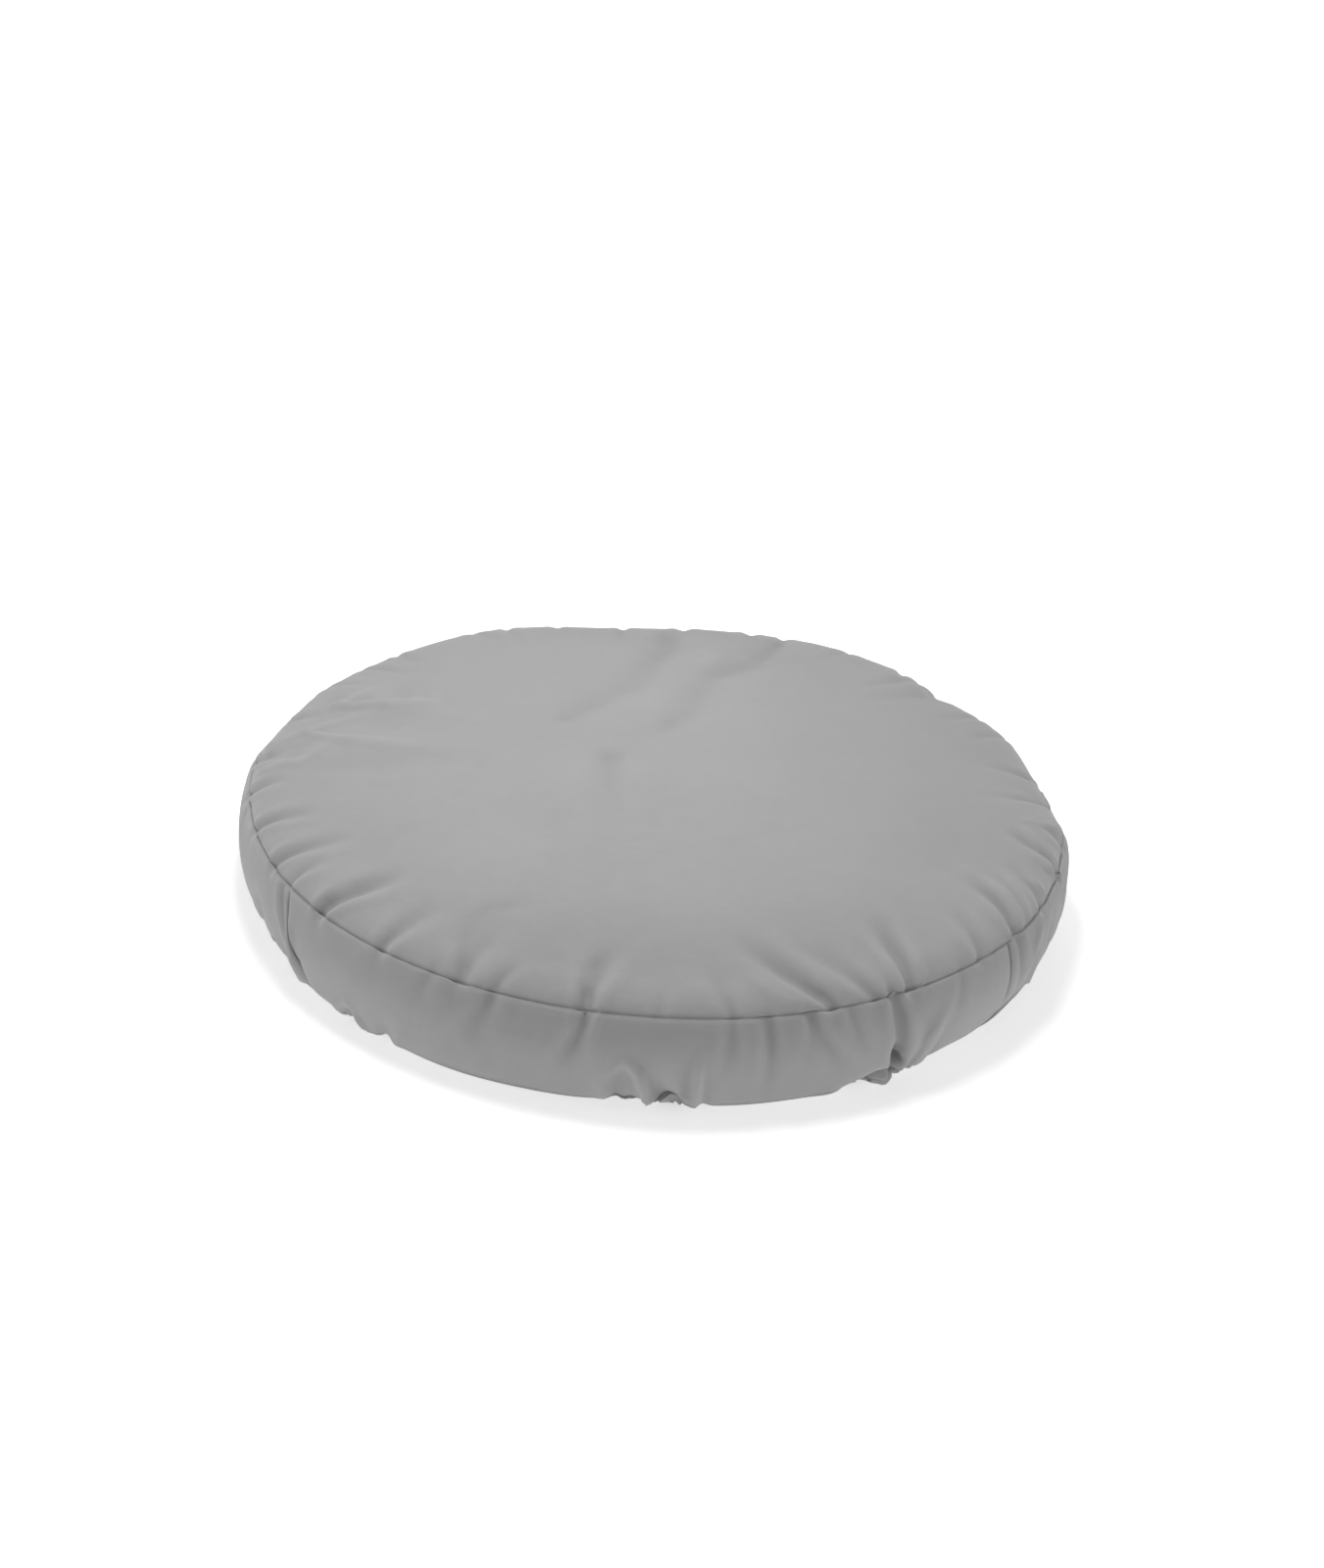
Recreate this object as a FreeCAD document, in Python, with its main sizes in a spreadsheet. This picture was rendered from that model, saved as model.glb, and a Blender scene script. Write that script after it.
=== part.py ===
"""Round boxed floor cushion with a removable zip cover.

The cover is a round top panel and a round bottom panel joined by an upright band of cloth. The band is
cut as a front strip, two short side strips and a rear strip that is split along its length by a zip.
Inside the cover is a liner of thin cloth, and inside the liner is the fibre fill.

Frame: millimetres, +Z up, origin on the floor under the centre of the cushion, -Y towards the front.
Every layer is a body of revolution about Z. A layer's depth is how far it lies inside the cover's
outer face, measured square to that face. Each strip of cloth is doubled along its edges, where it is
turned in, and the two round panels carry their seam allowances as a lip inside the band.
"""

import FreeCAD, Part
import operator
import os
from types import SimpleNamespace

import Sketcher
from FreeCAD import Placement, Rotation, Vector

DRIVING_SIZES = {
    # outline of the cover
    "crown_top": 134,  # height of the middle of the top panel
    "crown_round": 5500,  # radius of the shallow dome of the top panel
    "shoulder_round": 56,  # radius where the top panel rolls down to its seam
    "band_axis_r": 345,  # centre of the band's bulge, from the cushion's axis
    "band_axis_z": 57,  # centre of the band's bulge, above the floor: the widest level
    "band_round": 105,  # radius of the band's bulge
    "top_seam_z": 104,
    "bottom_seam_z": 8,
    "corner_round": 29,  # radius where the bottom panel rolls up to its seam
    # layers, as depths
    "cloth": 1.2,
    "hem": 2.4,
    "lip_out": 2.5,
    "lip_in": 3.7,
    "liner_out": 5.2,
    "liner_in": 6.6,
    "fill_out": 7.0,
    # turned-in edges
    "allowance": 12,
    "allowance_angle": 1.5,
    "lip_low": 10,
    "lip_foot": 1.2,
    # seam threads
    "thread_round": 0.25,
    "thread_depth": 4.1,
    "thread_from_seam": 3,
    "side_thread_depth": 3.7,
    "side_thread_below": 20,  # arc that an upright seam's thread covers below the widest level
    "side_thread_above": 19,
    "liner_thread_depth": 4.95,
    "liner_thread_round": 0.2,
    # strips of the band, as angles round the cushion
    "front_span": 108,
    "side_span": 66,
    "rear_span": 120,
    # zip, measured from its centre line
    "zip_gap": 6.2,
    "tape_out": 2.5,
    "tape_in": 3.1,
    "tape_near": 0.6,
    "tape_far": 16,
    "tape_span": 122,
    "coil_out": 0.4,
    "coil_in": 2.4,
    "coil_near": 0.5,
    "coil_far": 3.2,
    "coil_span": 117.6,
    "stop_angle": 59.3,
    "stop_span": 0.5,
    "stop_out": 0.1,
    "stop_near": 0.6,
    "stop_far": 3.4,
    "stitch_from_zip": 9.5,
    "stitch_round": 0.2,
    "stitch_lift": 0.3,
    "stitch_span": 118,
    # slider: x is away from the cushion, y is along the zip
    "slider_angle": 58.23,
    "slider_half": 6,
    "mouth_half": 5,
    "tail_half": 4.3,
    "nose_cut": 2.2,
    "plate": 1.0,
    "outer_plate_x": -0.1,
    "inner_plate_x": -4.7,
    "edge_near": 3.6,
    "edge_far": 4.2,
    "edge_low": -2.2,
    "blade_half": 0.2,
    "blade_back": 3,
    "arch_half": 5,
    "arch_bar": 1,
    "arch_top": 4.3,
    "arch_wide": 2.4,
    # pull tab, measured from its pin
    "pin_x": 2.3,
    "pin_y": -2.5,
    "pin_round": 0.7,
    "pull_long": 28,
    "pull_half": 3.2,
    "pull_tip_half": 2.4,
    "pull_window": 8.5,
    "window_half": 1.6,
    "hole_from_pin": 23.5,
    "hole_round": 1.5,
    # finish
    "arch_shoulder": 0.9,
    "tip_corner": 2,
    "merge": 0.1,  # how far features that join, or cut right through, run past each other
}
# Azimuths of the middle of each strip, anticlockwise from +X seen from above, in degrees.
FRONT, BACK = 270, 90
SIDE_TURN = (DRIVING_SIZES["rear_span"] + DRIVING_SIZES["side_span"]) / 2
LEFT, RIGHT = BACK + SIDE_TURN, BACK - SIDE_TURN

UP = Vector(0, 0, 1)
ORIGIN, H_AXIS, V_AXIS = -1, -1, -2
START, END, CENTRE = 1, 2, 3
NEAR = 0.01  # how close two places count as the same, and the least that a cut must take away


def arithmetic(sign, work):
    """The forward and the reversed form of one operator between sizes or plain numbers."""

    def forward(first, second):
        first, second = as_size(first), as_size(second)
        return Size(work(first.number, second.number), f"({first.text} {sign} {second.text})")

    return forward, lambda second, first: forward(first, second)


class Size:
    """A number together with the expression, in the sheet's cells, that it comes from."""

    def __init__(self, number, text):
        self.number = number
        self.text = text

    __add__, __radd__ = arithmetic("+", operator.add)
    __sub__, __rsub__ = arithmetic("-", operator.sub)
    __mul__, __rmul__ = arithmetic("*", operator.mul)
    __truediv__, __rtruediv__ = arithmetic("/", operator.truediv)
    __pow__, __rpow__ = arithmetic("^", operator.pow)

    def __neg__(self):
        return 0 - self


def as_size(number):
    return number if isinstance(number, Size) else Size(number, str(number))


def root(size):
    return Size(size.number**0.5, f"sqrt({size.text})")


SIZE = SimpleNamespace(**{alias: Size(number, f"Sizes.{alias}") for alias, number in DRIVING_SIZES.items()})

doc = FreeCAD.newDocument("FloorCushion")
sheet = doc.addObject("Spreadsheet::Sheet", "Sizes")
nodes = []


def fill_sheet():
    for row, (alias, number) in enumerate(DRIVING_SIZES.items(), start=1):
        sheet.set(f"A{row}", alias)
        sheet.set(f"B{row}", str(number))
        sheet.setAlias(f"B{row}", alias)
    doc.recompute()


# ------------------------------------------------------------------ the outline


def band_r(depth, z):
    """Distance from the cushion's axis of the band's layer at a depth, at height z."""
    return SIZE.band_axis_r + root((SIZE.band_round - depth) ** 2 - (z - SIZE.band_axis_z) ** 2)


TOP_Z = SIZE.top_seam_z
BOTTOM_Z = SIZE.bottom_seam_z
ZIP_Z = SIZE.band_axis_z


# ------------------------------------------------------------------ bodies and sketches


def new_body(name):
    body = doc.addObject("PartDesign::Body", name)
    body.Label = name
    nodes.append(body)
    return body


def new_sketch(body, name, plane="XZ_Plane", lift=None):
    """A sketch on one of the body's own origin planes, or moved off it by lift."""
    sketch = body.newObject("Sketcher::SketchObject", f"{body.Name}_{name}")
    role = next(f for f in body.Origin.OriginFeatures if f.Role == plane)
    sketch.AttachmentSupport = [(role, "")]
    sketch.MapMode = "FlatFace"
    if lift is not None:
        sketch.setExpression("AttachmentOffset.Base.z", lift.text)
    return sketch


def fix(sketch, kind, *where, to):
    """Adds a dimension and binds it to the sheet."""
    to = as_size(to)
    index = sketch.addConstraint(Sketcher.Constraint(kind, *where, to.number))
    sketch.setExpression(f"Constraints[{index}]", to.text)


def fix_point(sketch, line, end, x, y):
    fix(sketch, "DistanceX", ORIGIN, START, line, end, to=x)
    fix(sketch, "DistanceY", ORIGIN, START, line, end, to=y)


def join(sketch, *pairs):
    for first, first_end, second, second_end in pairs:
        sketch.addConstraint(Sketcher.Constraint("Coincident", first, first_end, second, second_end))


def level(sketch, *lines):
    for line in lines:
        sketch.addConstraint(Sketcher.Constraint("Horizontal", line))


def on_axis(sketch, *points):
    for geometry, end in points:
        sketch.addConstraint(Sketcher.Constraint("PointOnObject", geometry, end, V_AXIS))


def smooth(sketch, first, first_end, second, second_end):
    sketch.addConstraint(Sketcher.Constraint("Tangent", first, first_end, second, second_end))


def point(x, y):
    return Vector(as_size(x).number, as_size(y).number, 0)


def add_line(sketch, start, end):
    return sketch.addGeometry(Part.LineSegment(start, end), False)


def add_arc(sketch, centre, start, end):
    """An arc about centre, running anticlockwise from start to end."""
    spokes = [start - centre, end - centre]
    angles = [Vector(1, 0, 0).getAngle(s) * (1 if s.y >= 0 else -1) for s in spokes]
    circle = Part.Circle(centre, UP, spokes[0].Length)
    return sketch.addGeometry(Part.ArcOfCircle(circle, *angles), False)


def polygon(body, name, plane, corners, lift=None):
    """A closed outline with straight sides, every corner fixed by a pair of sizes."""
    sketch = new_sketch(body, name, plane, lift)
    guess = [point(x, y) for x, y in corners]
    count = len(corners)
    for i in range(count):
        add_line(sketch, guess[i], guess[(i + 1) % count])
    join(sketch, *[(i, END, (i + 1) % count, START) for i in range(count)])
    for i, (x, y) in enumerate(corners):
        fix_point(sketch, i, START, x, y)
    return sketch


def box_outline(body, name, plane, x_low, x_high, y_low, y_high, lift=None):
    corners = [(x_low, y_low), (x_high, y_low), (x_high, y_high), (x_low, y_high)]
    return polygon(body, name, plane, corners, lift)


def layer_strip(body, name, depth_out, depth_in, z_low, z_high):
    """Cross-section of the band between two depths and two levels."""
    sketch = new_sketch(body, name)
    centre = point(SIZE.band_axis_r, SIZE.band_axis_z)
    low_out, high_out = (point(band_r(depth_out, z), z) for z in (z_low, z_high))
    low_in, high_in = (point(band_r(depth_in, z), z) for z in (z_low, z_high))
    outer = add_arc(sketch, centre, low_out, high_out)
    top = add_line(sketch, high_out, high_in)
    inner = add_arc(sketch, centre, low_in, high_in)
    bottom = add_line(sketch, low_in, low_out)
    join(
        sketch,
        (outer, END, top, START),
        (top, END, inner, END),
        (inner, START, bottom, START),
        (bottom, END, outer, START),
        (outer, CENTRE, inner, CENTRE),
    )
    level(sketch, top, bottom)
    fix_point(sketch, outer, CENTRE, SIZE.band_axis_r, SIZE.band_axis_z)
    fix(sketch, "Radius", outer, to=SIZE.band_round - depth_out)
    fix(sketch, "Radius", inner, to=SIZE.band_round - depth_in)
    fix(sketch, "DistanceY", ORIGIN, START, outer, START, to=z_low)
    fix(sketch, "DistanceY", ORIGIN, START, outer, END, to=z_high)
    return sketch


def crown_arcs(sketch, depth, seam):
    """The dome and the shoulder of a top layer at a depth. seam is where the shoulder ends."""
    dome_round = (SIZE.crown_round - depth).number
    roll = (SIZE.shoulder_round - depth).number
    top = (SIZE.crown_top - depth).number
    seam_point = point(*seam)
    dome_centre = Vector(0, top - dome_round, 0)
    # The shoulder's centre is roll from the seam and dome_round - roll from the dome's centre.
    to_seam = seam_point - dome_centre
    reach = dome_round - roll
    along = (reach**2 - roll**2 + to_seam.Length**2) / (2 * to_seam.Length)
    aside = (reach**2 - along**2) ** 0.5
    unit = to_seam / to_seam.Length
    roll_centre = dome_centre + unit * along + Vector(-unit.y, unit.x, 0) * aside
    away = (roll_centre - dome_centre) / reach
    blend = dome_centre + away * dome_round
    dome = add_arc(sketch, dome_centre, blend, Vector(0, top, 0))
    shoulder = add_arc(sketch, roll_centre, seam_point, blend)
    smooth(sketch, dome, START, shoulder, END)
    on_axis(sketch, (dome, END), (dome, CENTRE))
    fix(sketch, "Radius", dome, to=SIZE.crown_round - depth)
    fix(sketch, "Radius", shoulder, to=SIZE.shoulder_round - depth)
    fix(sketch, "DistanceY", ORIGIN, START, dome, END, to=SIZE.crown_top - depth)
    return dome, shoulder


def top_layer(body, name, depth_out, depth_in):
    """Cross-section of a domed top panel between two depths, ending level with the top seam."""
    sketch = new_sketch(body, name)
    seam_out = (band_r(depth_out, TOP_Z), TOP_Z)
    seam_in = (band_r(depth_in, TOP_Z), TOP_Z)
    dome_out, shoulder_out = crown_arcs(sketch, depth_out, seam_out)
    dome_in, shoulder_in = crown_arcs(sketch, depth_in, seam_in)
    edge = add_line(sketch, point(*seam_out), point(*seam_in))
    middle = add_line(sketch, point(0, SIZE.crown_top - depth_in), point(0, SIZE.crown_top - depth_out))
    join(
        sketch,
        (shoulder_out, START, edge, START),
        (edge, END, shoulder_in, START),
        (dome_in, END, middle, START),
        (middle, END, dome_out, END),
    )
    fix_point(sketch, edge, START, *seam_out)
    fix_point(sketch, edge, END, *seam_in)
    return sketch


def corner_arc(sketch, depth):
    """The roll from the flat underside up to the bottom seam at a depth. Returns its index and flat end."""
    roll = (SIZE.corner_round - depth).number
    low = as_size(depth).number
    seam = point(band_r(depth, BOTTOM_Z), BOTTOM_Z)
    rise = low + roll - seam.y
    centre = Vector(seam.x - (roll**2 - rise**2) ** 0.5, low + roll, 0)
    flat_end = Vector(centre.x, low, 0)
    arc = add_arc(sketch, centre, flat_end, seam)
    fix(sketch, "Radius", arc, to=SIZE.corner_round - depth)
    fix_point(sketch, arc, END, band_r(depth, BOTTOM_Z), BOTTOM_Z)
    return arc, flat_end


def bottom_layer(body, name, depth_out, depth_in):
    """Cross-section of a flat bottom panel between two depths, ending level with the bottom seam."""
    sketch = new_sketch(body, name)
    arcs, flats = [], []
    for depth in (depth_out, depth_in):
        arc, flat_end = corner_arc(sketch, depth)
        flat = add_line(sketch, Vector(0, flat_end.y, 0), flat_end)
        smooth(sketch, flat, END, arc, START)
        level(sketch, flat)
        on_axis(sketch, (flat, START))
        arcs.append(arc)
        flats.append(flat)
    if as_size(depth_out).number == 0:
        sketch.addConstraint(Sketcher.Constraint("PointOnObject", flats[0], START, H_AXIS))
    else:
        fix(sketch, "DistanceY", ORIGIN, START, flats[0], START, to=depth_out)
    fix(sketch, "DistanceY", ORIGIN, START, flats[1], START, to=depth_in)
    seam_out, seam_in = (point(band_r(depth, BOTTOM_Z), BOTTOM_Z) for depth in (depth_out, depth_in))
    edge = add_line(sketch, seam_out, seam_in)
    middle = add_line(sketch, point(0, depth_in), point(0, depth_out))
    join(
        sketch,
        (arcs[0], END, edge, START),
        (edge, END, arcs[1], END),
        (flats[1], START, middle, START),
        (middle, END, flats[0], START),
    )
    return sketch


def fill_outline(body, name, depth):
    """Cross-section of a solid filling everything inside a depth."""
    sketch = new_sketch(body, name)
    corner, flat_end = corner_arc(sketch, depth)
    flat = add_line(sketch, Vector(0, flat_end.y, 0), flat_end)
    smooth(sketch, flat, END, corner, START)
    level(sketch, flat)
    on_axis(sketch, (flat, START))
    fix(sketch, "DistanceY", ORIGIN, START, flat, START, to=depth)
    low, high = (point(band_r(depth, z), z) for z in (BOTTOM_Z, TOP_Z))
    side = add_arc(sketch, point(SIZE.band_axis_r, SIZE.band_axis_z), low, high)
    fix_point(sketch, side, CENTRE, SIZE.band_axis_r, SIZE.band_axis_z)
    fix(sketch, "DistanceY", ORIGIN, START, side, END, to=TOP_Z)
    dome, shoulder = crown_arcs(sketch, depth, (band_r(depth, TOP_Z), TOP_Z))
    middle = add_line(sketch, point(0, SIZE.crown_top - depth), point(0, flat_end.y))
    join(
        sketch,
        (corner, END, side, START),
        (side, END, shoulder, START),
        (dome, END, middle, START),
        (middle, END, flat, START),
    )
    return sketch


# ------------------------------------------------------------------ features


def revolve(body, sketch, span=360, cut=False):
    """Turns a sketch about the cushion's axis through span degrees, half each way from +X."""
    span = as_size(span)
    before = body.Shape.Volume if cut else 0
    kind = "PartDesign::Groove" if cut else "PartDesign::Revolution"
    feature = body.newObject(kind, f"{sketch.Name}_turned")
    feature.Profile = sketch
    feature.ReferenceAxis = (sketch, ["V_Axis"])
    feature.Midplane = True
    feature.Angle = span.number
    feature.setExpression("Angle", span.text)
    sketch.Visibility = False
    doc.recompute()
    if cut and body.Shape.Volume > before - NEAR:
        raise RuntimeError(f"{feature.Name} cut nothing")
    return feature


def pad(body, sketch, length, middle=False, cut=False, name="padded"):
    """Pads a sketch by length, or cuts by it, either all one way or half each way."""
    before = body.Shape.Volume if cut else 0
    kind = "PartDesign::Pocket" if cut else "PartDesign::Pad"
    feature = body.newObject(kind, f"{sketch.Name}_{name}")
    feature.Profile = sketch
    feature.Midplane = middle
    feature.Length = length.number
    feature.setExpression("Length", length.text)
    sketch.Visibility = False
    doc.recompute()
    if cut and body.Shape.Volume > before - NEAR:
        raise RuntimeError(f"{feature.Name} cut nothing")
    return feature


def round_edges(body, radius, picks, name):
    """Fillets the edges of the body's latest shape that picks(edge) accepts."""
    base = body.Tip
    chosen = [f"Edge{i}" for i, edge in enumerate(base.Shape.Edges, start=1) if picks(edge)]
    if not chosen:
        raise RuntimeError(f"{body.Name} has no edges for {name}")
    feature = body.newObject("PartDesign::Fillet", f"{body.Name}_{name}")
    feature.Base = (base, chosen)
    feature.Radius = radius.number
    feature.setExpression("Radius", radius.text)
    doc.recompute()
    return feature


def turn_to(body, azimuth):
    body.Placement = Placement(Vector(), Rotation(UP, azimuth))


# ------------------------------------------------------------------ the cover's cloth


def round_top_panel():
    body = new_body("top_panel")
    revolve(body, top_layer(body, "cloth", 0, SIZE.cloth))
    foot = box_outline(
        body, "seam_fold", "XZ_Plane",
        band_r(SIZE.lip_in, TOP_Z), band_r(SIZE.cloth, TOP_Z) + SIZE.merge,
        TOP_Z, TOP_Z + SIZE.lip_foot,
    )
    revolve(body, foot)
    lip = layer_strip(
        body, "seam_allowance", SIZE.lip_out, SIZE.lip_in,
        TOP_Z - SIZE.lip_low, TOP_Z + SIZE.lip_foot / 2,
    )
    revolve(body, lip)


def round_bottom_panel():
    body = new_body("bottom_panel")
    revolve(body, bottom_layer(body, "cloth", 0, SIZE.cloth))
    foot = box_outline(
        body, "seam_fold", "XZ_Plane",
        band_r(SIZE.lip_in, BOTTOM_Z), band_r(SIZE.cloth, BOTTOM_Z) + SIZE.merge,
        BOTTOM_Z - SIZE.lip_foot, BOTTOM_Z,
    )
    revolve(body, foot)
    lip = layer_strip(
        body, "seam_allowance", SIZE.lip_out, SIZE.lip_in,
        BOTTOM_Z - SIZE.lip_foot / 2, BOTTOM_Z + SIZE.lip_low,
    )
    revolve(body, lip)


def band_strip(name, azimuth, span, z_low=BOTTOM_Z, z_high=TOP_Z):
    """A strip of the band, doubled along all four edges where the cloth is turned in."""
    body = new_body(name)
    revolve(body, layer_strip(body, "doubled", 0, SIZE.hem, z_low, z_high), span)
    single = layer_strip(
        body, "single", SIZE.cloth, SIZE.hem + SIZE.merge,
        z_low + SIZE.allowance, z_high - SIZE.allowance,
    )
    revolve(body, single, span - 2 * SIZE.allowance_angle, cut=True)
    turn_to(body, azimuth)


def cover_band():
    band_strip("front_band", FRONT, SIZE.front_span)
    band_strip("left_band", LEFT, SIZE.side_span)
    band_strip("right_band", RIGHT, SIZE.side_span)
    band_strip("zip_band_lower", BACK, SIZE.rear_span, BOTTOM_Z, ZIP_Z - SIZE.zip_gap)
    band_strip("zip_band_upper", BACK, SIZE.rear_span, ZIP_Z + SIZE.zip_gap, TOP_Z)


# ------------------------------------------------------------------ liner and fill


def liner_and_fill():
    top = new_body("liner_top")
    revolve(top, top_layer(top, "cloth", SIZE.liner_out, SIZE.liner_in))
    side = new_body("liner_side")
    revolve(side, layer_strip(side, "cloth", SIZE.liner_out, SIZE.liner_in, BOTTOM_Z, TOP_Z))
    bottom = new_body("liner_bottom")
    revolve(bottom, bottom_layer(bottom, "cloth", SIZE.liner_out, SIZE.liner_in))
    fill = new_body("fibre_fill")
    revolve(fill, fill_outline(fill, "outline", SIZE.fill_out))


# ------------------------------------------------------------------ zip


def zip_sides(near, far):
    """The levels above and below the zip's centre line between two distances from it."""
    return ("upper", ZIP_Z + near, ZIP_Z + far), ("lower", ZIP_Z - far, ZIP_Z - near)


def zip_chain():
    """The two tapes and the two coils, which run along the widest level of the rear strip."""
    tape = (SIZE.tape_out, SIZE.tape_in, SIZE.tape_near, SIZE.tape_far, SIZE.tape_span)
    coil = (SIZE.coil_out, SIZE.coil_in, SIZE.coil_near, SIZE.coil_far, SIZE.coil_span)
    for kind, (depth_out, depth_in, near, far, span) in (("tape", tape), ("coil", coil)):
        for side, z_low, z_high in zip_sides(near, far):
            body = new_body(f"zip_{kind}_{side}")
            revolve(body, layer_strip(body, kind, depth_out, depth_in, z_low, z_high), span)
            turn_to(body, BACK)


def zip_stops():
    """A crimp on each tape where the zip closes, and one crimp across both where it ends."""
    crimps = []
    for side, z_low, z_high in zip_sides(SIZE.stop_near, SIZE.stop_far):
        body = doc.addObject("PartDesign::Body", f"stop_{side}")
        revolve(body, layer_strip(body, "crimp", SIZE.stop_out, SIZE.coil_in, z_low, z_high), SIZE.stop_span)
        turn_to(body, BACK + SIZE.stop_angle.number)
        crimps.append(body)
    keep_group("zip_top_stops", crimps)
    end = new_body("zip_bottom_stop")
    crimp = layer_strip(
        end, "crimp", SIZE.stop_out, SIZE.coil_in,
        ZIP_Z - SIZE.stop_far, ZIP_Z + SIZE.stop_far,
    )
    revolve(end, crimp, SIZE.stop_span)
    turn_to(end, BACK - SIZE.stop_angle.number)


def slider_placement(azimuth):
    """Carries a piece drawn with x away from the cushion and y along the zip to its place on the zip."""
    turn = Rotation(UP, azimuth)
    reach = Vector((SIZE.band_axis_r + SIZE.band_round).number, 0, ZIP_Z.number)
    return Placement(turn.multVec(reach), turn)


def plate_outline(body, name, lift):
    """A slider plate seen from outside: narrow tail, wide mouth and a blunt nose."""
    half = SIZE.slider_half
    corners = [
        (-half, -SIZE.tail_half),
        (half - SIZE.nose_cut, -SIZE.mouth_half),
        (half, SIZE.nose_cut - SIZE.mouth_half),
        (half, SIZE.mouth_half - SIZE.nose_cut),
        (half - SIZE.nose_cut, SIZE.mouth_half),
        (-half, SIZE.tail_half),
    ]
    return polygon(body, name, "YZ_Plane", corners, lift)


def slider_body(azimuth):
    """Two plates joined by a blade, two edges that hold the coils in, and the arch that the pull hangs on."""
    body = new_body("slider_body")
    half = SIZE.slider_half
    pad(body, plate_outline(body, "outer_plate", SIZE.outer_plate_x), SIZE.plate)
    blade = box_outline(
        body, "blade", "XY_Plane",
        SIZE.inner_plate_x + SIZE.plate / 2, SIZE.outer_plate_x + SIZE.plate / 2,
        half - SIZE.blade_back, half,
    )
    pad(body, blade, 2 * SIZE.blade_half, middle=True)
    pad(body, plate_outline(body, "inner_plate", SIZE.inner_plate_x), SIZE.plate)
    for side, sign in (("upper", 1), ("lower", -1)):
        near, far = sign * SIZE.edge_near, sign * SIZE.edge_far
        edge = box_outline(
            body, f"edge_{side}", "YZ_Plane",
            -half, half - SIZE.nose_cut, near, far,
            lift=SIZE.edge_low,
        )
        pad(body, edge, SIZE.outer_plate_x - SIZE.edge_low + SIZE.merge)
    arch_base = SIZE.outer_plate_x + SIZE.plate - SIZE.merge
    arch = polygon(
        body, "arch", "XY_Plane",
        [
            (arch_base, -SIZE.arch_half),
            (SIZE.arch_top, -SIZE.arch_half),
            (SIZE.arch_top, SIZE.arch_half),
            (arch_base, SIZE.arch_half),
            (arch_base, SIZE.arch_half - SIZE.arch_bar),
            (SIZE.arch_top - SIZE.arch_bar, SIZE.arch_half - SIZE.arch_bar),
            (SIZE.arch_top - SIZE.arch_bar, SIZE.arch_bar - SIZE.arch_half),
            (arch_base, SIZE.arch_bar - SIZE.arch_half),
        ],
    )
    pad(body, arch, SIZE.arch_wide, middle=True)
    top = SIZE.arch_top.number
    end = SIZE.arch_half.number

    def at_arch_shoulder(edge):
        low, high = edge.BoundBox.XMin, edge.BoundBox.XMax
        at_end = abs(abs(edge.CenterOfMass.y) - end) < NEAR
        return at_end and abs(low - top) < NEAR and abs(high - top) < NEAR

    round_edges(body, SIZE.arch_shoulder, at_arch_shoulder, "arch_shoulders")
    body.Placement = slider_placement(azimuth)


def pull_tab(azimuth):
    """A flat tab with two arms round the arch, joined through it by a round pin."""
    body = new_body("pull_tab")
    thick = 2 * SIZE.pin_round
    tab = polygon(
        body, "tab", "YZ_Plane",
        [
            (0, -SIZE.pull_half),
            (0, SIZE.pull_half),
            (-SIZE.pull_long, SIZE.pull_tip_half),
            (-SIZE.pull_long, -SIZE.pull_tip_half),
        ],
    )
    pad(body, tab, thick, middle=True)
    window = box_outline(
        body, "window", "YZ_Plane",
        -SIZE.pull_window, SIZE.merge, -SIZE.window_half, SIZE.window_half,
    )
    pad(body, window, thick + SIZE.merge, middle=True, cut=True)
    hole = new_sketch(body, "hole", "YZ_Plane")
    centre = point(-SIZE.hole_from_pin, 0)
    circle = hole.addGeometry(Part.Circle(centre, UP, SIZE.hole_round.number), False)
    fix(hole, "DistanceX", ORIGIN, START, circle, CENTRE, to=-SIZE.hole_from_pin)
    hole.addConstraint(Sketcher.Constraint("PointOnObject", circle, CENTRE, H_AXIS))
    fix(hole, "Radius", circle, to=SIZE.hole_round)
    pad(body, hole, thick + SIZE.merge, middle=True, cut=True)
    pin = new_sketch(body, "pin", "XY_Plane")
    rod = pin.addGeometry(Part.Circle(Vector(), UP, SIZE.pin_round.number), False)
    join(pin, (rod, CENTRE, ORIGIN, START))
    fix(pin, "Radius", rod, to=SIZE.pin_round)
    pad(body, pin, 2 * SIZE.pull_half, middle=True)
    tip = -SIZE.pull_long.number

    def at_tip_corner(edge):
        through = edge.BoundBox.XLength > SIZE.pin_round.number
        return through and abs(edge.CenterOfMass.y - tip) < NEAR

    round_edges(body, SIZE.tip_corner, at_tip_corner, "tip_corners")
    along = point(SIZE.pin_x, SIZE.pin_y)
    body.Placement = slider_placement(azimuth) * Placement(along, Rotation())


# ------------------------------------------------------------------ threads


def ring_thread(name, depth, z, thread_round, span=as_size(360), start=0):
    """A thread that follows the band at a depth and level, from the azimuth start for span degrees."""
    ring = doc.addObject("Part::Torus", name)
    ring.setExpression("Radius1", band_r(depth, z).text)
    ring.setExpression("Radius2", thread_round.text)
    ring.setExpression("Angle3", span.text)
    ring.Placement = Placement(Vector(0, 0, z.number), Rotation(UP, start))
    ring.setExpression("Placement.Base.z", z.text)
    return ring


def keep_group(name, pieces):
    group = doc.addObject("Part::Compound", name)
    group.Links = pieces
    nodes.append(group)


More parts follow.
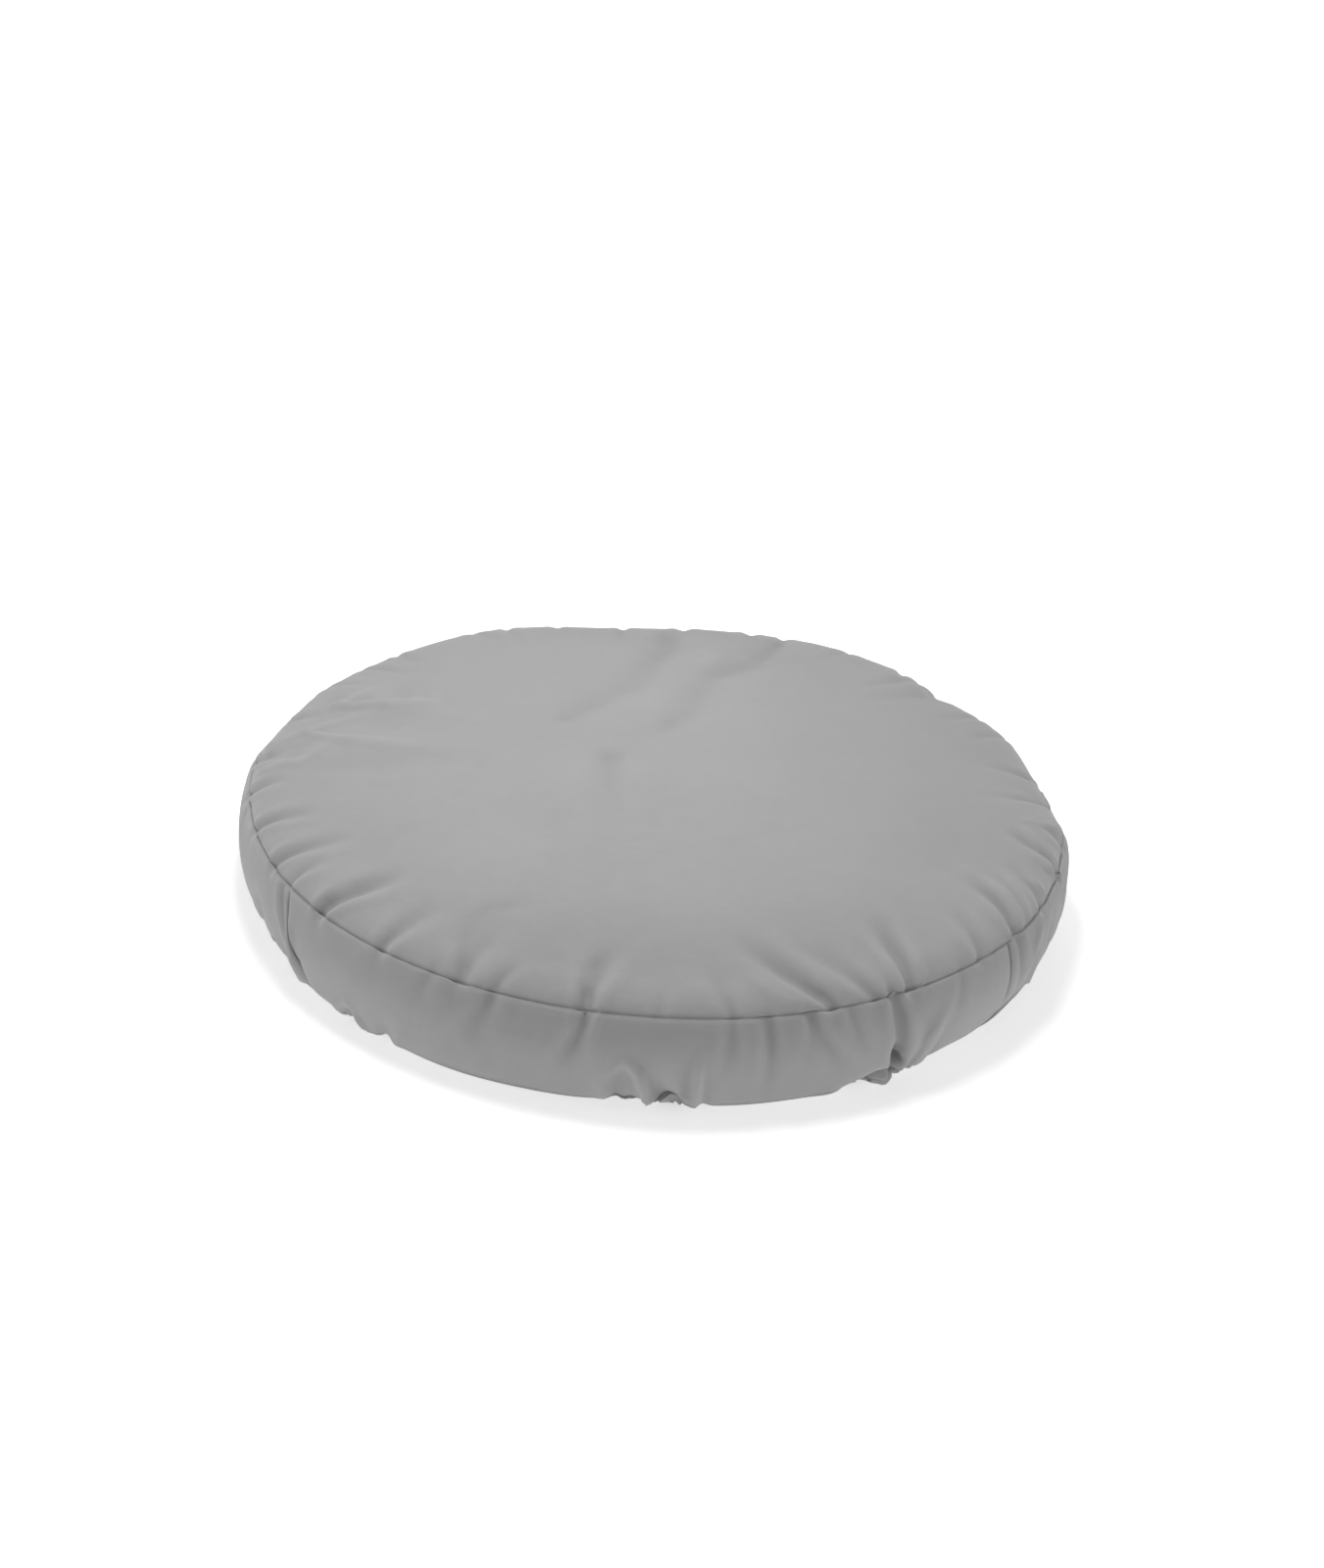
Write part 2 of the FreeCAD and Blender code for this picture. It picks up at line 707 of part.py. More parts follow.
def threads():
    stitch_start = BACK - SIZE.stitch_span.number / 2
    top_z = TOP_Z - SIZE.thread_from_seam
    bottom_z = BOTTOM_Z + SIZE.thread_from_seam
    for name, z in (("top_seam_thread", top_z), ("bottom_seam_thread", bottom_z)):
        nodes.append(ring_thread(name, SIZE.thread_depth, z, SIZE.thread_round))
    rows = [
        ring_thread(
            f"stitch_row_{side}", -SIZE.stitch_lift, ZIP_Z + sign * SIZE.stitch_from_zip,
            SIZE.stitch_round, SIZE.stitch_span, stitch_start,
        )
        for side, sign in (("upper", 1), ("lower", -1))
    ]
    keep_group("zip_stitching", rows)
    half_strip = SIZE.side_span.number / 2
    upright_seams = [middle + side * half_strip for middle in (LEFT, RIGHT) for side in (-1, 1)]
    keep_group("side_seam_threads", [side_seam_thread(azimuth) for azimuth in upright_seams])
    liner_rows = [
        ring_thread(f"liner_thread_{side}", SIZE.liner_thread_depth, z, SIZE.liner_thread_round)
        for side, z in (("top", top_z), ("bottom", bottom_z))
    ]
    keep_group("liner_seam_threads", liner_rows)


def side_seam_thread(azimuth):
    """The thread of an upright seam: an arc about the band's own centre, inside the turned-in edges."""
    thread = doc.addObject("Part::Torus", "side_seam_thread")
    thread.setExpression("Radius1", (SIZE.band_round - SIZE.side_thread_depth).text)
    thread.setExpression("Radius2", SIZE.thread_round.text)
    thread.setExpression("Angle3", (SIZE.side_thread_below + SIZE.side_thread_above).text)
    centre = Vector(SIZE.band_axis_r.number, 0, SIZE.band_axis_z.number)
    upright = Rotation(Vector(1, 0, 0), 90) * Rotation(UP, -SIZE.side_thread_below.number)
    turn = Rotation(UP, azimuth)
    thread.Placement = Placement(turn.multVec(centre), turn * upright)
    return thread


# ------------------------------------------------------------------ build


def check_document():
    failed = [o.Name for o in doc.Objects if "Invalid" in o.State or "Error" in o.State]
    if failed:
        raise RuntimeError(f"these objects failed: {failed}")
    for node in nodes:
        if node.Shape.isNull() or not node.Shape.isValid() or not node.Shape.Solids:
            raise RuntimeError(f"{node.Label} has no valid solid")


def write_parts():
    os.makedirs("parts", exist_ok=True)
    for node in nodes:
        node.Shape.exportStep(f"parts/{node.Label}.step")
        print(f"{node.Label}: {len(node.Shape.Solids)} solids, {node.Shape.Volume:.1f} mm3")


fill_sheet()
round_top_panel()
round_bottom_panel()
cover_band()
liner_and_fill()
zip_chain()
zip_stops()
closed_at = BACK + SIZE.slider_angle.number
slider_body(closed_at)
pull_tab(closed_at)
threads()
doc.recompute()
check_document()
write_parts()
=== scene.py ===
"""Looks of a round boxed floor cushion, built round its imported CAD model.

The cover is one sewn mesh of rings: the bottom panel, the band and the top panel. Each panel is cut a
little larger than the shape it is filled to, so a cloth simulation buckles it into puckers along the
seams, over a soft fill that holds the mean shape. Then it is cut along its seams into separate pieces.
Places on the cover are given by azimuth, anticlockwise from +X in degrees, and by along, the distance
over the cloth from the top seam: positive up the top panel, negative down the band. Metres throughout.
"""

import math

import bpy
import numpy as np
from mathutils import Matrix, Vector


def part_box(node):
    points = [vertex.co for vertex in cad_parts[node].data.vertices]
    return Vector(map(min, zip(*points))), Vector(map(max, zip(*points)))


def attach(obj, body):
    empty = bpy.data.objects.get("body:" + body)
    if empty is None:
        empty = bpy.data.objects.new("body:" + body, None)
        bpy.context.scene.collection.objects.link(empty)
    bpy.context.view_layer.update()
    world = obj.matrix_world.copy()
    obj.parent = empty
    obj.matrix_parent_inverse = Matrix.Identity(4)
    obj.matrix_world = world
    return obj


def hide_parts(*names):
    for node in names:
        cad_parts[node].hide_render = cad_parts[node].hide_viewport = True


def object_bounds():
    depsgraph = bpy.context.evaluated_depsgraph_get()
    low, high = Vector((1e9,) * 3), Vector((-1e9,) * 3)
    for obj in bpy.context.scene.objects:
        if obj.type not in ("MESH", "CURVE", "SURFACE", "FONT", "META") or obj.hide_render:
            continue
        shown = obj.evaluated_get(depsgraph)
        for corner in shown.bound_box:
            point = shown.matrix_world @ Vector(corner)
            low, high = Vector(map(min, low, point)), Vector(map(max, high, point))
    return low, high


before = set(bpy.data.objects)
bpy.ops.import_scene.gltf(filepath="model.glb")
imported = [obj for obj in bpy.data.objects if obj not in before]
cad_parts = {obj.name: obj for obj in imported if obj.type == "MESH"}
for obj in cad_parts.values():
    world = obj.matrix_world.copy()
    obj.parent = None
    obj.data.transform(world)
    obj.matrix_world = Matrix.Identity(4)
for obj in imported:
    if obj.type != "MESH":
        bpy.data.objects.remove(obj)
cad_low, cad_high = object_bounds()

# ------------------------------------------------------------------ places, from the frame

BAND_LOW, BAND_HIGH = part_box("front_band")
TOP_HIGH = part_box("top_panel")[1]
BOTTOM_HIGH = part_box("bottom_panel")[1]
COIL_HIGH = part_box("zip_coil_upper")[1]
WIDEST = -BAND_LOW.y  # radius of the cushion at its widest level
TOP_SEAM_Z, BOTTOM_SEAM_Z = BAND_HIGH.z, BAND_LOW.z
TOP_SEAM_R, BOTTOM_SEAM_R = TOP_HIGH.x, BOTTOM_HIGH.x
CROWN_Z = TOP_HIGH.z
STOP_LOW, STOP_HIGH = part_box("zip_bottom_stop")
ZIP_Z = STOP_LOW.z / 2 + STOP_HIGH.z / 2
ZIP_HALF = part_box("zip_band_upper")[0].z - ZIP_Z  # half the opening between the zip's two strips

SHOULDER_ROUND, CORNER_ROUND, CROWN_ROUND = 0.056, 0.029, 5.5  # under the top, at the foot, of the dome
CLOTH = 0.0012  # thickness of the cover's cloth
ZIP_AZIMUTHS = (30, 150)  # the upright seams at the ends of the zip
FRONT_AZIMUTHS = (216, 324)  # the upright seams at the ends of the front strip
SEAM_AZIMUTHS = ZIP_AZIMUTHS + FRONT_AZIMUTHS
ZIP_MIDDLE, FRONT_MIDDLE = sum(ZIP_AZIMUTHS) / 2, sum(FRONT_AZIMUTHS) / 2

# ------------------------------------------------------------------ camera

VIEW_DISTANCE = 2.5
VIEW_ELEVATION = math.radians(28.7)
VIEW_ROLL = math.radians(4.43)
LENS = 52.12
AIM_RIGHT, AIM_UP = 0.0068, 0.0425  # from the cushion's middle, so that it sits a little low and left


def add_camera():
    """Looks down at the cushion's front, tipped so that its right side looks lower."""
    middle = (cad_low + cad_high) / 2
    back = Vector((0, -math.cos(VIEW_ELEVATION), math.sin(VIEW_ELEVATION)))
    level = Vector((1, 0, 0))
    upright = back.cross(level)
    right = level * math.cos(VIEW_ROLL) + upright * math.sin(VIEW_ROLL)
    up = upright * math.cos(VIEW_ROLL) - level * math.sin(VIEW_ROLL)
    place = middle + back * VIEW_DISTANCE
    ahead = (middle + right * AIM_RIGHT + up * AIM_UP - place).normalized()
    right = ahead.cross(up).normalized()
    up = right.cross(ahead)
    data = bpy.data.cameras.new("camera")
    data.lens = LENS
    camera = bpy.data.objects.new("camera", data)
    bpy.context.scene.collection.objects.link(camera)
    camera.matrix_world = Matrix.Translation(place) @ Matrix((right, up, -ahead)).transposed().to_4x4()
    bpy.context.scene.camera = camera


add_camera()

# ------------------------------------------------------------------ the mean shape


FLOOR_POINTS, CORNER_POINTS, BAND_POINTS = 200, 60, 200  # points on each stretch of the outline
SHOULDER_POINTS, DOME_POINTS = 80, 300


def band_arc():
    """Centre radius and radius of the band's bulge, from its widest level and its top seam."""
    rise, inset = TOP_SEAM_Z - ZIP_Z, WIDEST - TOP_SEAM_R
    bulge = (rise**2 + inset**2) / (2 * inset)
    return WIDEST - bulge, bulge


def arc_points(centre, radius, start, end, count):
    """Points and outward normals along an arc, the angles in radians."""
    angles = np.linspace(start, end, count)
    normals = np.stack([np.cos(angles), np.sin(angles)], axis=1)
    return np.array(centre) + radius * normals, normals


def profile():
    """The cover's outline from the middle of the floor up to the middle of the crown: points, outward
    normals, and how far along the cloth each is from the top seam."""
    axis_r, bulge = band_arc()
    low_angle = math.asin((BOTTOM_SEAM_Z - CORNER_ROUND) / CORNER_ROUND)
    corner_r = BOTTOM_SEAM_R - CORNER_ROUND * math.cos(low_angle)
    flat = np.stack([np.linspace(0, corner_r, FLOOR_POINTS), np.zeros(FLOOR_POINTS)], axis=1)
    pieces = [(flat, np.tile([0.0, -1.0], (FLOOR_POINTS, 1)))]
    pieces.append(arc_points((corner_r, CORNER_ROUND), CORNER_ROUND, -math.pi / 2, low_angle, CORNER_POINTS))
    angle_low = math.asin((BOTTOM_SEAM_Z - ZIP_Z) / bulge)
    angle_high = math.asin((TOP_SEAM_Z - ZIP_Z) / bulge)
    pieces.append(arc_points((axis_r, ZIP_Z), bulge, angle_low, angle_high, BAND_POINTS))
    seam = sum(len(p) for p, _ in pieces)
    # The shoulder touches the seam and rolls inside the crown's dome.
    dome_centre = np.array([0, CROWN_Z - CROWN_ROUND])
    to_seam = np.array([TOP_SEAM_R, TOP_SEAM_Z]) - dome_centre
    span = np.linalg.norm(to_seam)
    reach = CROWN_ROUND - SHOULDER_ROUND
    onward = (reach**2 - SHOULDER_ROUND**2 + span**2) / (2 * span)
    aside = math.sqrt(reach**2 - onward**2)
    unit = to_seam / span
    roll_centre = dome_centre + unit * onward + np.array([-unit[1], unit[0]]) * aside
    start = math.atan2(TOP_SEAM_Z - roll_centre[1], TOP_SEAM_R - roll_centre[0])
    end = math.atan2(*(roll_centre - dome_centre)[::-1])
    pieces.append(arc_points(roll_centre, SHOULDER_ROUND, start, end, SHOULDER_POINTS))
    pieces.append(arc_points(dome_centre, CROWN_ROUND, end, math.pi / 2, DOME_POINTS))
    points = np.concatenate([p for p, _ in pieces])
    normals = np.concatenate([n for _, n in pieces])
    steps = np.linalg.norm(np.diff(points, axis=0), axis=1)
    along = np.concatenate([[0], np.cumsum(steps)])
    return points, normals, along - along[seam]


POINTS, NORMALS, ALONG = profile()


def on_profile(along):
    """Radius, height and outward normal of the mean shape at distances along the cloth."""
    columns = [np.interp(along, ALONG, c) for c in (*POINTS.T, *NORMALS.T)]
    return np.stack(columns, axis=-1)


def along_at(z, low, high):
    """The place between two places on the band that is at height z."""
    inside = (ALONG > low) & (ALONG < high)
    return float(np.interp(z, POINTS[inside, 1], ALONG[inside]))


# ------------------------------------------------------------------ rings of the cover's mesh

# Points round each seam: a multiple of 60, so that every upright seam falls on a column, and of 16, so that
# the rings further in can have half as many four times over.
ROUND = 480
FLOOR_END = float(ALONG[0])
CROWN_END = float(ALONG[-1])
BOTTOM_SEAM = float(ALONG[FLOOR_POINTS + CORNER_POINTS - 1])
TOP_SEAM = 0.0
CREASE = 0.0016  # the first ring each side of a seam, close enough to turn the cloth into it
SECOND_RING = 0.0055
RING_STEPS = (0.0066, 0.0078, 0.009, 0.012)  # between a panel's rings, zone by zone inwards
BOTTOM_ZONES, TOP_ZONES = (0.055, 0.2), (0.11, 0.25)  # where the first two zones end, in from the seam
THIRD_ZONE, FOURTH_ZONE, LAST_RING = 0.86, 0.94, 0.975  # where the others end, as shares of a panel's width


def band_rings():
    """Places of the rings between the two seams, with one at each edge of the zip's opening."""
    low, high = (along_at(ZIP_Z + side * ZIP_HALF, BOTTOM_SEAM, TOP_SEAM) for side in (-1, 1))
    parts = [
        [BOTTOM_SEAM, BOTTOM_SEAM + CREASE],
        np.linspace(BOTTOM_SEAM + SECOND_RING, low, 8),
        np.linspace(low, high, 3)[1:],
        np.linspace(high, TOP_SEAM - SECOND_RING, 8)[1:],
        [TOP_SEAM - CREASE, TOP_SEAM],
    ]
    return np.concatenate(parts)


def panel_rings(width, fine, middle):
    """Distances in from a panel's seam, and how many points each ring has. The rings thin out inwards
    in four zones, of which the first two end fine and middle from the seam."""
    edges = (SECOND_RING, fine, middle, width * THIRD_ZONE, width * FOURTH_ZONE)
    rings = [(0.0, ROUND), (CREASE, ROUND), (SECOND_RING, ROUND)]
    for zone, step in enumerate(RING_STEPS):
        count = max(1, round((edges[zone + 1] - edges[zone]) / step))
        for k in range(1, count + 1):
            place = edges[zone] + (edges[zone + 1] - edges[zone]) * k / count
            rings.append((place, ROUND >> zone))
    rings.append((width * LAST_RING, ROUND >> len(RING_STEPS)))
    return rings


def cover_rings():
    """(place along the cloth, points) of every ring, from the bottom's centre to the crown's."""
    bottom = [(BOTTOM_SEAM - d, n) for d, n in panel_rings(BOTTOM_SEAM - FLOOR_END, *BOTTOM_ZONES)]
    top = [(TOP_SEAM + d, n) for d, n in panel_rings(CROWN_END - TOP_SEAM, *TOP_ZONES)]
    band = [(float(place), ROUND) for place in band_rings()[1:-1]]
    return bottom[::-1] + band + top, len(bottom) - 1, len(bottom) + len(band)


BOTTOM, FRONT, LEFT, RIGHT, ZIP_LOWER, ZIP_UPPER, TOP, OPENING = range(8)
PIECES = (
    "bottom_panel",
    "front_band",
    "left_band",
    "right_band",
    "zip_band_lower",
    "zip_band_upper",
    "top_panel",
)
LEFT_SLANT = 6.5  # degrees that the left seam of the front strip drifts round from its top to its foot
SLANT_WIDTH = 14  # degrees over which the cloth beside it drifts too
DRAWN_IN, DRAWN_WIDTH = 0.55, 1.4  # share that columns close up to an upright seam, and degrees of reach
DRAWN_FADE, SLANT_FADE = 0.03, 0.15  # distances past the band over which both die away


def turned(azimuth, centre):
    """Azimuths as seen from another one, from -180 to 180."""
    return (azimuth - centre + 180) % 360 - 180


def on_cloth(azimuth, place):
    """Where evenly spaced columns of the mesh really run: drawn in to the upright seams, and slanted with
    the left one."""
    near = max(0.0, 1 - max(0.0, place - TOP_SEAM, BOTTOM_SEAM - place) / DRAWN_FADE)
    moved = azimuth.copy()
    for seam in SEAM_AZIMUTHS:
        off = turned(azimuth, seam)
        moved -= near * DRAWN_IN * off * np.exp(-((off / DRAWN_WIDTH) ** 2))
    down = np.clip((TOP_SEAM - place) / (TOP_SEAM - BOTTOM_SEAM), 0, 1)
    if place < BOTTOM_SEAM:
        down = max(0.0, 1 - (BOTTOM_SEAM - place) / SLANT_FADE)
    return moved + LEFT_SLANT * down * np.exp(-((turned(azimuth, FRONT_AZIMUTHS[0]) / SLANT_WIDTH) ** 2))


def strip_of(azimuth, place):
    """Which piece of the band a face belongs to, from its middle on the even columns."""
    azimuth %= 360
    if FRONT_AZIMUTHS[0] < azimuth < FRONT_AZIMUTHS[1]:
        return FRONT
    if ZIP_AZIMUTHS[0] < azimuth < ZIP_AZIMUTHS[1]:
        z = on_profile(place)[1]
        if abs(z - ZIP_Z) < ZIP_HALF:
            return OPENING
        return ZIP_UPPER if z > ZIP_Z else ZIP_LOWER
    return LEFT if ZIP_AZIMUTHS[1] < azimuth < FRONT_AZIMUTHS[0] else RIGHT


class Cover:
    """The cover's mesh: where each vertex is on the cloth, its faces, and which piece each belongs to."""

    def __init__(self):
        self.rings, self.low_seam, self.high_seam = cover_rings()
        azimuth, along, self.first = [np.zeros(1)], [FLOOR_END], []
        for place, count in self.rings:
            self.first.append(len(along))
            azimuth.append(on_cloth(360 * np.arange(count) / count, place))
            along += [place] * count
        azimuth.append(np.zeros(1))
        along.append(CROWN_END)
        self.azimuth, self.along = np.concatenate(azimuth) % 360, np.array(along)
        self.faces, self.piece = [], []
        last = len(along) - 1
        inner = self.rings[0][1]
        for j in range(inner):
            self.add([0, 1 + (j + 1) % inner, 1 + j], BOTTOM)
        for k in range(len(self.rings) - 1):
            self.join(k)
        for j in range(inner):
            self.add([last, self.first[-1] + j, self.first[-1] + (j + 1) % inner], TOP)

    def add(self, face, piece):
        self.faces.append(face)
        self.piece.append(piece)

    def join(self, k):
        """Faces between ring k and the next one up, which may have half or twice as many points."""
        (place, count), (next_place, next_count) = self.rings[k : k + 2]
        low, high = self.first[k], self.first[k + 1]
        fewer = min(count, next_count)
        for j in range(fewer):
            if k < self.low_seam:
                piece = BOTTOM
            elif k >= self.high_seam:
                piece = TOP
            else:
                piece = strip_of(360 * (j + 0.5) / fewer, (place + next_place) / 2)
            steps = [j, j + 1]
            lower = [low + (s * count // fewer) % count for s in steps]
            upper = [high + (s * next_count // fewer) % next_count for s in steps]
            if count > next_count:
                lower.insert(1, low + 2 * j + 1)
            if next_count > count:
                upper.insert(1, high + 2 * j + 1)
            self.add(lower + upper[::-1], piece)

    def spokes(self):
        """Unit vectors away from the cushion's axis."""
        a = np.radians(self.azimuth)
        return np.stack([np.cos(a), np.sin(a)], axis=1)


def springs(faces):
    """Every edge once, every diagonal of every face once."""
    edges, diagonals = set(), set()
    for face in faces:
        size = len(face)
        for i, vertex in enumerate(face):
            edges.add(tuple(sorted((vertex, face[(i + 1) % size]))))
            if size > 3:
                diagonals.add(tuple(sorted((vertex, face[(i + 2) % size]))))
    return np.array(sorted(edges)), np.array(sorted(diagonals - edges))


# ------------------------------------------------------------------ folds and lumps, listed

# Puckers of the top: each starts at the seam and fades out up the panel. Azimuth at the seam, azimuth at
# the far end, length, depth and width.
TOP_FOLDS = (
    (167, 166, 0.060, 0.0052, 0.017),
    (181, 182, 0.080, 0.0046, 0.017),
    (190, 189, 0.055, 0.0057, 0.016),
    (200, 201, 0.080, 0.0063, 0.016),
    (210, 211, 0.090, 0.0075, 0.017),
    (215.5, 215, 0.050, 0.0046, 0.012),
    (223.5, 226, 0.100, 0.0115, 0.019),
    (235, 236, 0.085, 0.0063, 0.019),
    (247, 246, 0.125, 0.0050, 0.024),
    (251.5, 253.5, 0.050, 0.0035, 0.013),
    (263, 264.5, 0.085, 0.0080, 0.017),
    (272, 273, 0.050, 0.0018, 0.015),
    (281, 279, 0.070, 0.0030, 0.020),
    (294, 284, 0.120, 0.0060, 0.019),
    (300, 295, 0.090, 0.0048, 0.019),
    (305.5, 309.5, 0.105, 0.0115, 0.017),
    (318, 323, 0.075, 0.0046, 0.018),
    (326.5, 333, 0.085, 0.0100, 0.016),
    (335, 341, 0.060, 0.0045, 0.014),
    (345, 352, 0.075, 0.0085, 0.016),
    (353, 357, 0.045, 0.0040, 0.015),
)
# Folds of the band. Azimuth and place along the cloth of both ends, depth (a ridge's is negative) and
# width. A fold is full at its first end.
BAND_FOLDS = (
    (214.5, -0.006, 219.5, -0.100, 0.0069, 0.013),
    (220.5, -0.100, 217.5, -0.010, -0.0046, 0.009),
    (206, -0.100, 207, -0.030, 0.0057, 0.021),
    (229, -0.125, 231, -0.070, 0.0080, 0.016),
    (235, -0.125, 238, -0.060, 0.0057, 0.014),
    (243, -0.002, 241, -0.045, 0.0023, 0.016),
    (252, -0.002, 249, -0.060, 0.0040, 0.018),
    (264, 0.000, 261, -0.060, 0.0069, 0.013),
    (267.5, -0.100, 268.5, -0.030, 0.0057, 0.016),
    (275.0, -0.130, 272.5, -0.050, 0.0115, 0.016),
    (271.5, -0.090, 270, -0.045, -0.0052, 0.009),
    (275.2, -0.140, 275.2, -0.075, 0.0126, 0.013),
    (277.6, -0.110, 277, -0.030, -0.0052, 0.009),
    (281, -0.001, 280.5, -0.060, 0.0034, 0.010),
    (285.5, -0.001, 286, -0.085, 0.0046, 0.010),
    (290.5, -0.001, 296, -0.070, 0.0046, 0.014),
    (296, -0.002, 299, -0.060, 0.0034, 0.013),
    (302.5, 0.001, 306, -0.100, 0.0092, 0.013),
    (304.3, -0.105, 303.2, -0.045, 0.0138, 0.012),
    (300, -0.125, 298, -0.090, 0.0115, 0.026),
    (307.6, -0.105, 310, -0.030, -0.0063, 0.012),
    (314, -0.002, 312, -0.060, 0.0023, 0.013),
    (326.5, -0.001, 327.5, -0.075, 0.0080, 0.012),
    (331, -0.080, 334, -0.002, -0.0046, 0.012),
    (338, -0.110, 340, -0.010, 0.0069, 0.016),
    (348, -0.110, 347, -0.010, 0.0063, 0.014),
)
# Troughs of the top, each a line of (azimuth, radius) with its height (a trough's is negative) and width.
TROUGHS = (
    (((90, 0.390), (90, 0.347), (102, 0.218), (134, 0.158)), -0.0095, 0.019),
    (((134, 0.160), (116, 0.182), (102, 0.218)), -0.0042, 0.016),
    (((71, 0.400), (71, 0.337), (79, 0.262), (81, 0.156), (87, 0.106), (162, 0.058)), -0.0085, 0.018),
    (((87, 0.106), (80, 0.156), (79, 0.240)), -0.0030, 0.016),
    (((162, 0.058), (235, 0.088), (250, 0.167)), -0.0055, 0.017),
    (((81, 0.320), (82, 0.165), (126, 0.065)), 0.0040, 0.018),
)
# Sharp creases of the top, the same way: ridges at the back left and between the pleats on the right, the
# curved ends of the pleats in front, and short hollows at the right rear.
TOP_CREASES = (
    (((162.5, 0.387), (159, 0.337), (153.5, 0.288), (148, 0.315)), 0.0036, 0.0065),
    (((162.5, 0.387), (153.5, 0.370)), 0.0030, 0.0060),
    (((177.5, 0.428), (173.5, 0.396), (162.5, 0.349)), 0.0036, 0.0060),
    (((174, 0.394), (176, 0.356), (177.5, 0.272)), 0.0032, 0.0065),
    (((186, 0.426), (184, 0.392), (177.5, 0.367)), 0.0036, 0.0060),
    (((180, 0.425), (177.5, 0.375)), -0.0050, 0.0095),
    (((155, 0.330), (150, 0.350)), -0.0030, 0.0120),
    (((223, 0.432), (222, 0.413), (223, 0.389)), -0.0025, 0.0070),
    (((247, 0.436), (244, 0.396), (243, 0.366), (243.5, 0.345), (247, 0.325)), -0.0034, 0.0085),
    (((263.5, 0.433), (262, 0.416), (262, 0.397), (264, 0.378)), -0.0022, 0.0065),
    (((290, 0.438), (288, 0.430), (285, 0.401), (282.5, 0.378)), 0.0030, 0.0075),
    (((294, 0.436), (292, 0.423), (288.5, 0.389), (285, 0.358)), -0.0032, 0.0080),
    (((296.5, 0.438), (294, 0.396), (290.5, 0.351)), 0.0030, 0.0080),
    (((356, 0.436), (355.5, 0.395)), 0.0030, 0.0050),
    (((344, 0.431), (352.5, 0.398)), 0.0038, 0.0050),
    (((331, 0.436), (337.5, 0.392)), 0.0035, 0.0050),
    (((338, 0.437), (338.5, 0.414)), 0.0025, 0.0045),
    (((327.5, 0.433), (331.5, 0.405), (335, 0.355)), 0.0030, 0.0060),
    (((345, 0.436), (350.5, 0.405)), -0.0045, 0.0060),
    (((326.5, 0.432), (331, 0.404)), -0.0030, 0.0060),
    (((41, 0.437), (40.5, 0.416)), -0.0080, 0.0120),
    (((41, 0.402), (43, 0.344)), -0.0028, 0.0100),
    (((5.5, 0.428), (6, 0.400)), -0.0040, 0.0130),
    (((12.5, 0.425), (14.5, 0.389)), -0.0028, 0.0080),
)
# Sharp creases of the band: each a line of (azimuth, place along the cloth), its height and width. The
# deepest is a tuck at the foot on the right, and the next a notch in front with an arched fold beside it.
BAND_CREASES = (
    (((303.8, -0.064), (303.4, -0.004)), -0.0045, 0.0070),
    (((303.9, -0.080), (303.6, -0.068), (303.0, -0.061)), -0.0085, 0.0052),
    (((304.2, -0.081), (301, -0.0885), (298.0, -0.099)), -0.0115, 0.0050),
    (((303.8, -0.1045), (302.2, -0.1055)), 0.0062, 0.0055),
    (((307, -0.088), (308, -0.0575), (310, -0.040)), 0.0034, 0.0048),
    (((271.6, -0.092), (271, -0.0725), (270.3, -0.056), (268.6, -0.045), (267, -0.058)), 0.0042, 0.0042),
    (((269.4, -0.095), (268.9, -0.060)), -0.0035, 0.0065),
    (((274.4, -0.096), (275, -0.122)), -0.0095, 0.0064),
    (((277, -0.086), (277, -0.056), (277.5, -0.032)), 0.0036, 0.0042),
    (((275.6, -0.078), (276, -0.045)), -0.0022, 0.0060),
    (((233.2, -0.098), (230.6, -0.076), (228, -0.092)), 0.0036, 0.0050),
    (((231.2, -0.120), (230.8, -0.090)), -0.0070, 0.0075),
    (((219.6, -0.092), (218.4, -0.030)), 0.0034, 0.0045),
    (((215.5, -0.098), (213.5, -0.035)), -0.0060, 0.0120),
    (((333.5, -0.004), (328.6, -0.050)), 0.0034, 0.0050),
    (((291, -0.006), (291, -0.048)), -0.0026, 0.0060),
    (((285, -0.003), (286.5, -0.033), (287, -0.068)), -0.0026, 0.0080),
)
# Broad hollows and swells of the filling: azimuth, place along the cloth, height (a hollow's is negative),
# and reach along the cloth and round the cushion.
LUMPS = (
    (150, 0.30, -0.0030, 0.05, 0.050),
    (165, 0.115, -0.0045, 0.05, 0.030),
    (176, 0.155, 0.0040, 0.09, 0.022),
    (157, 0.120, 0.0040, 0.08, 0.022),
    (186, 0.120, -0.0035, 0.06, 0.022),
    (268, 0.150, 0.0055, 0.075, 0.30),
    (250, 0.045, -0.0040, 0.040, 0.20),
    (290, 0.045, -0.0040, 0.040, 0.20),
    (335, 0.120, -0.0050, 0.06, 0.08),
    (100, 0.020, -0.0050, 0.070, 0.100),
    (62, 0.030, 0.0070, 0.06, 0.080),
    (50, 0.010, 0.0060, 0.06, 0.055),
    (24, 0.010, 0.0040, 0.05, 0.060),
    (357, -0.010, 0.0045, 0.05, 0.040),
    (168, 0.000, -0.0070, 0.07, 0.070),
    (12, 0.000, -0.0058, 0.07, 0.090),
    (328, -0.110, -0.0120, 0.040, 0.090),
    (312, -0.115, -0.0070, 0.035, 0.050),
    (271, -0.115, -0.0080, 0.030, 0.045),
    (207, -0.100, -0.0070, 0.050, 0.060),
    (246, -0.105, 0.0040, 0.040, 0.080),
    (340, -0.060, -0.0060, 0.060, 0.060),
)


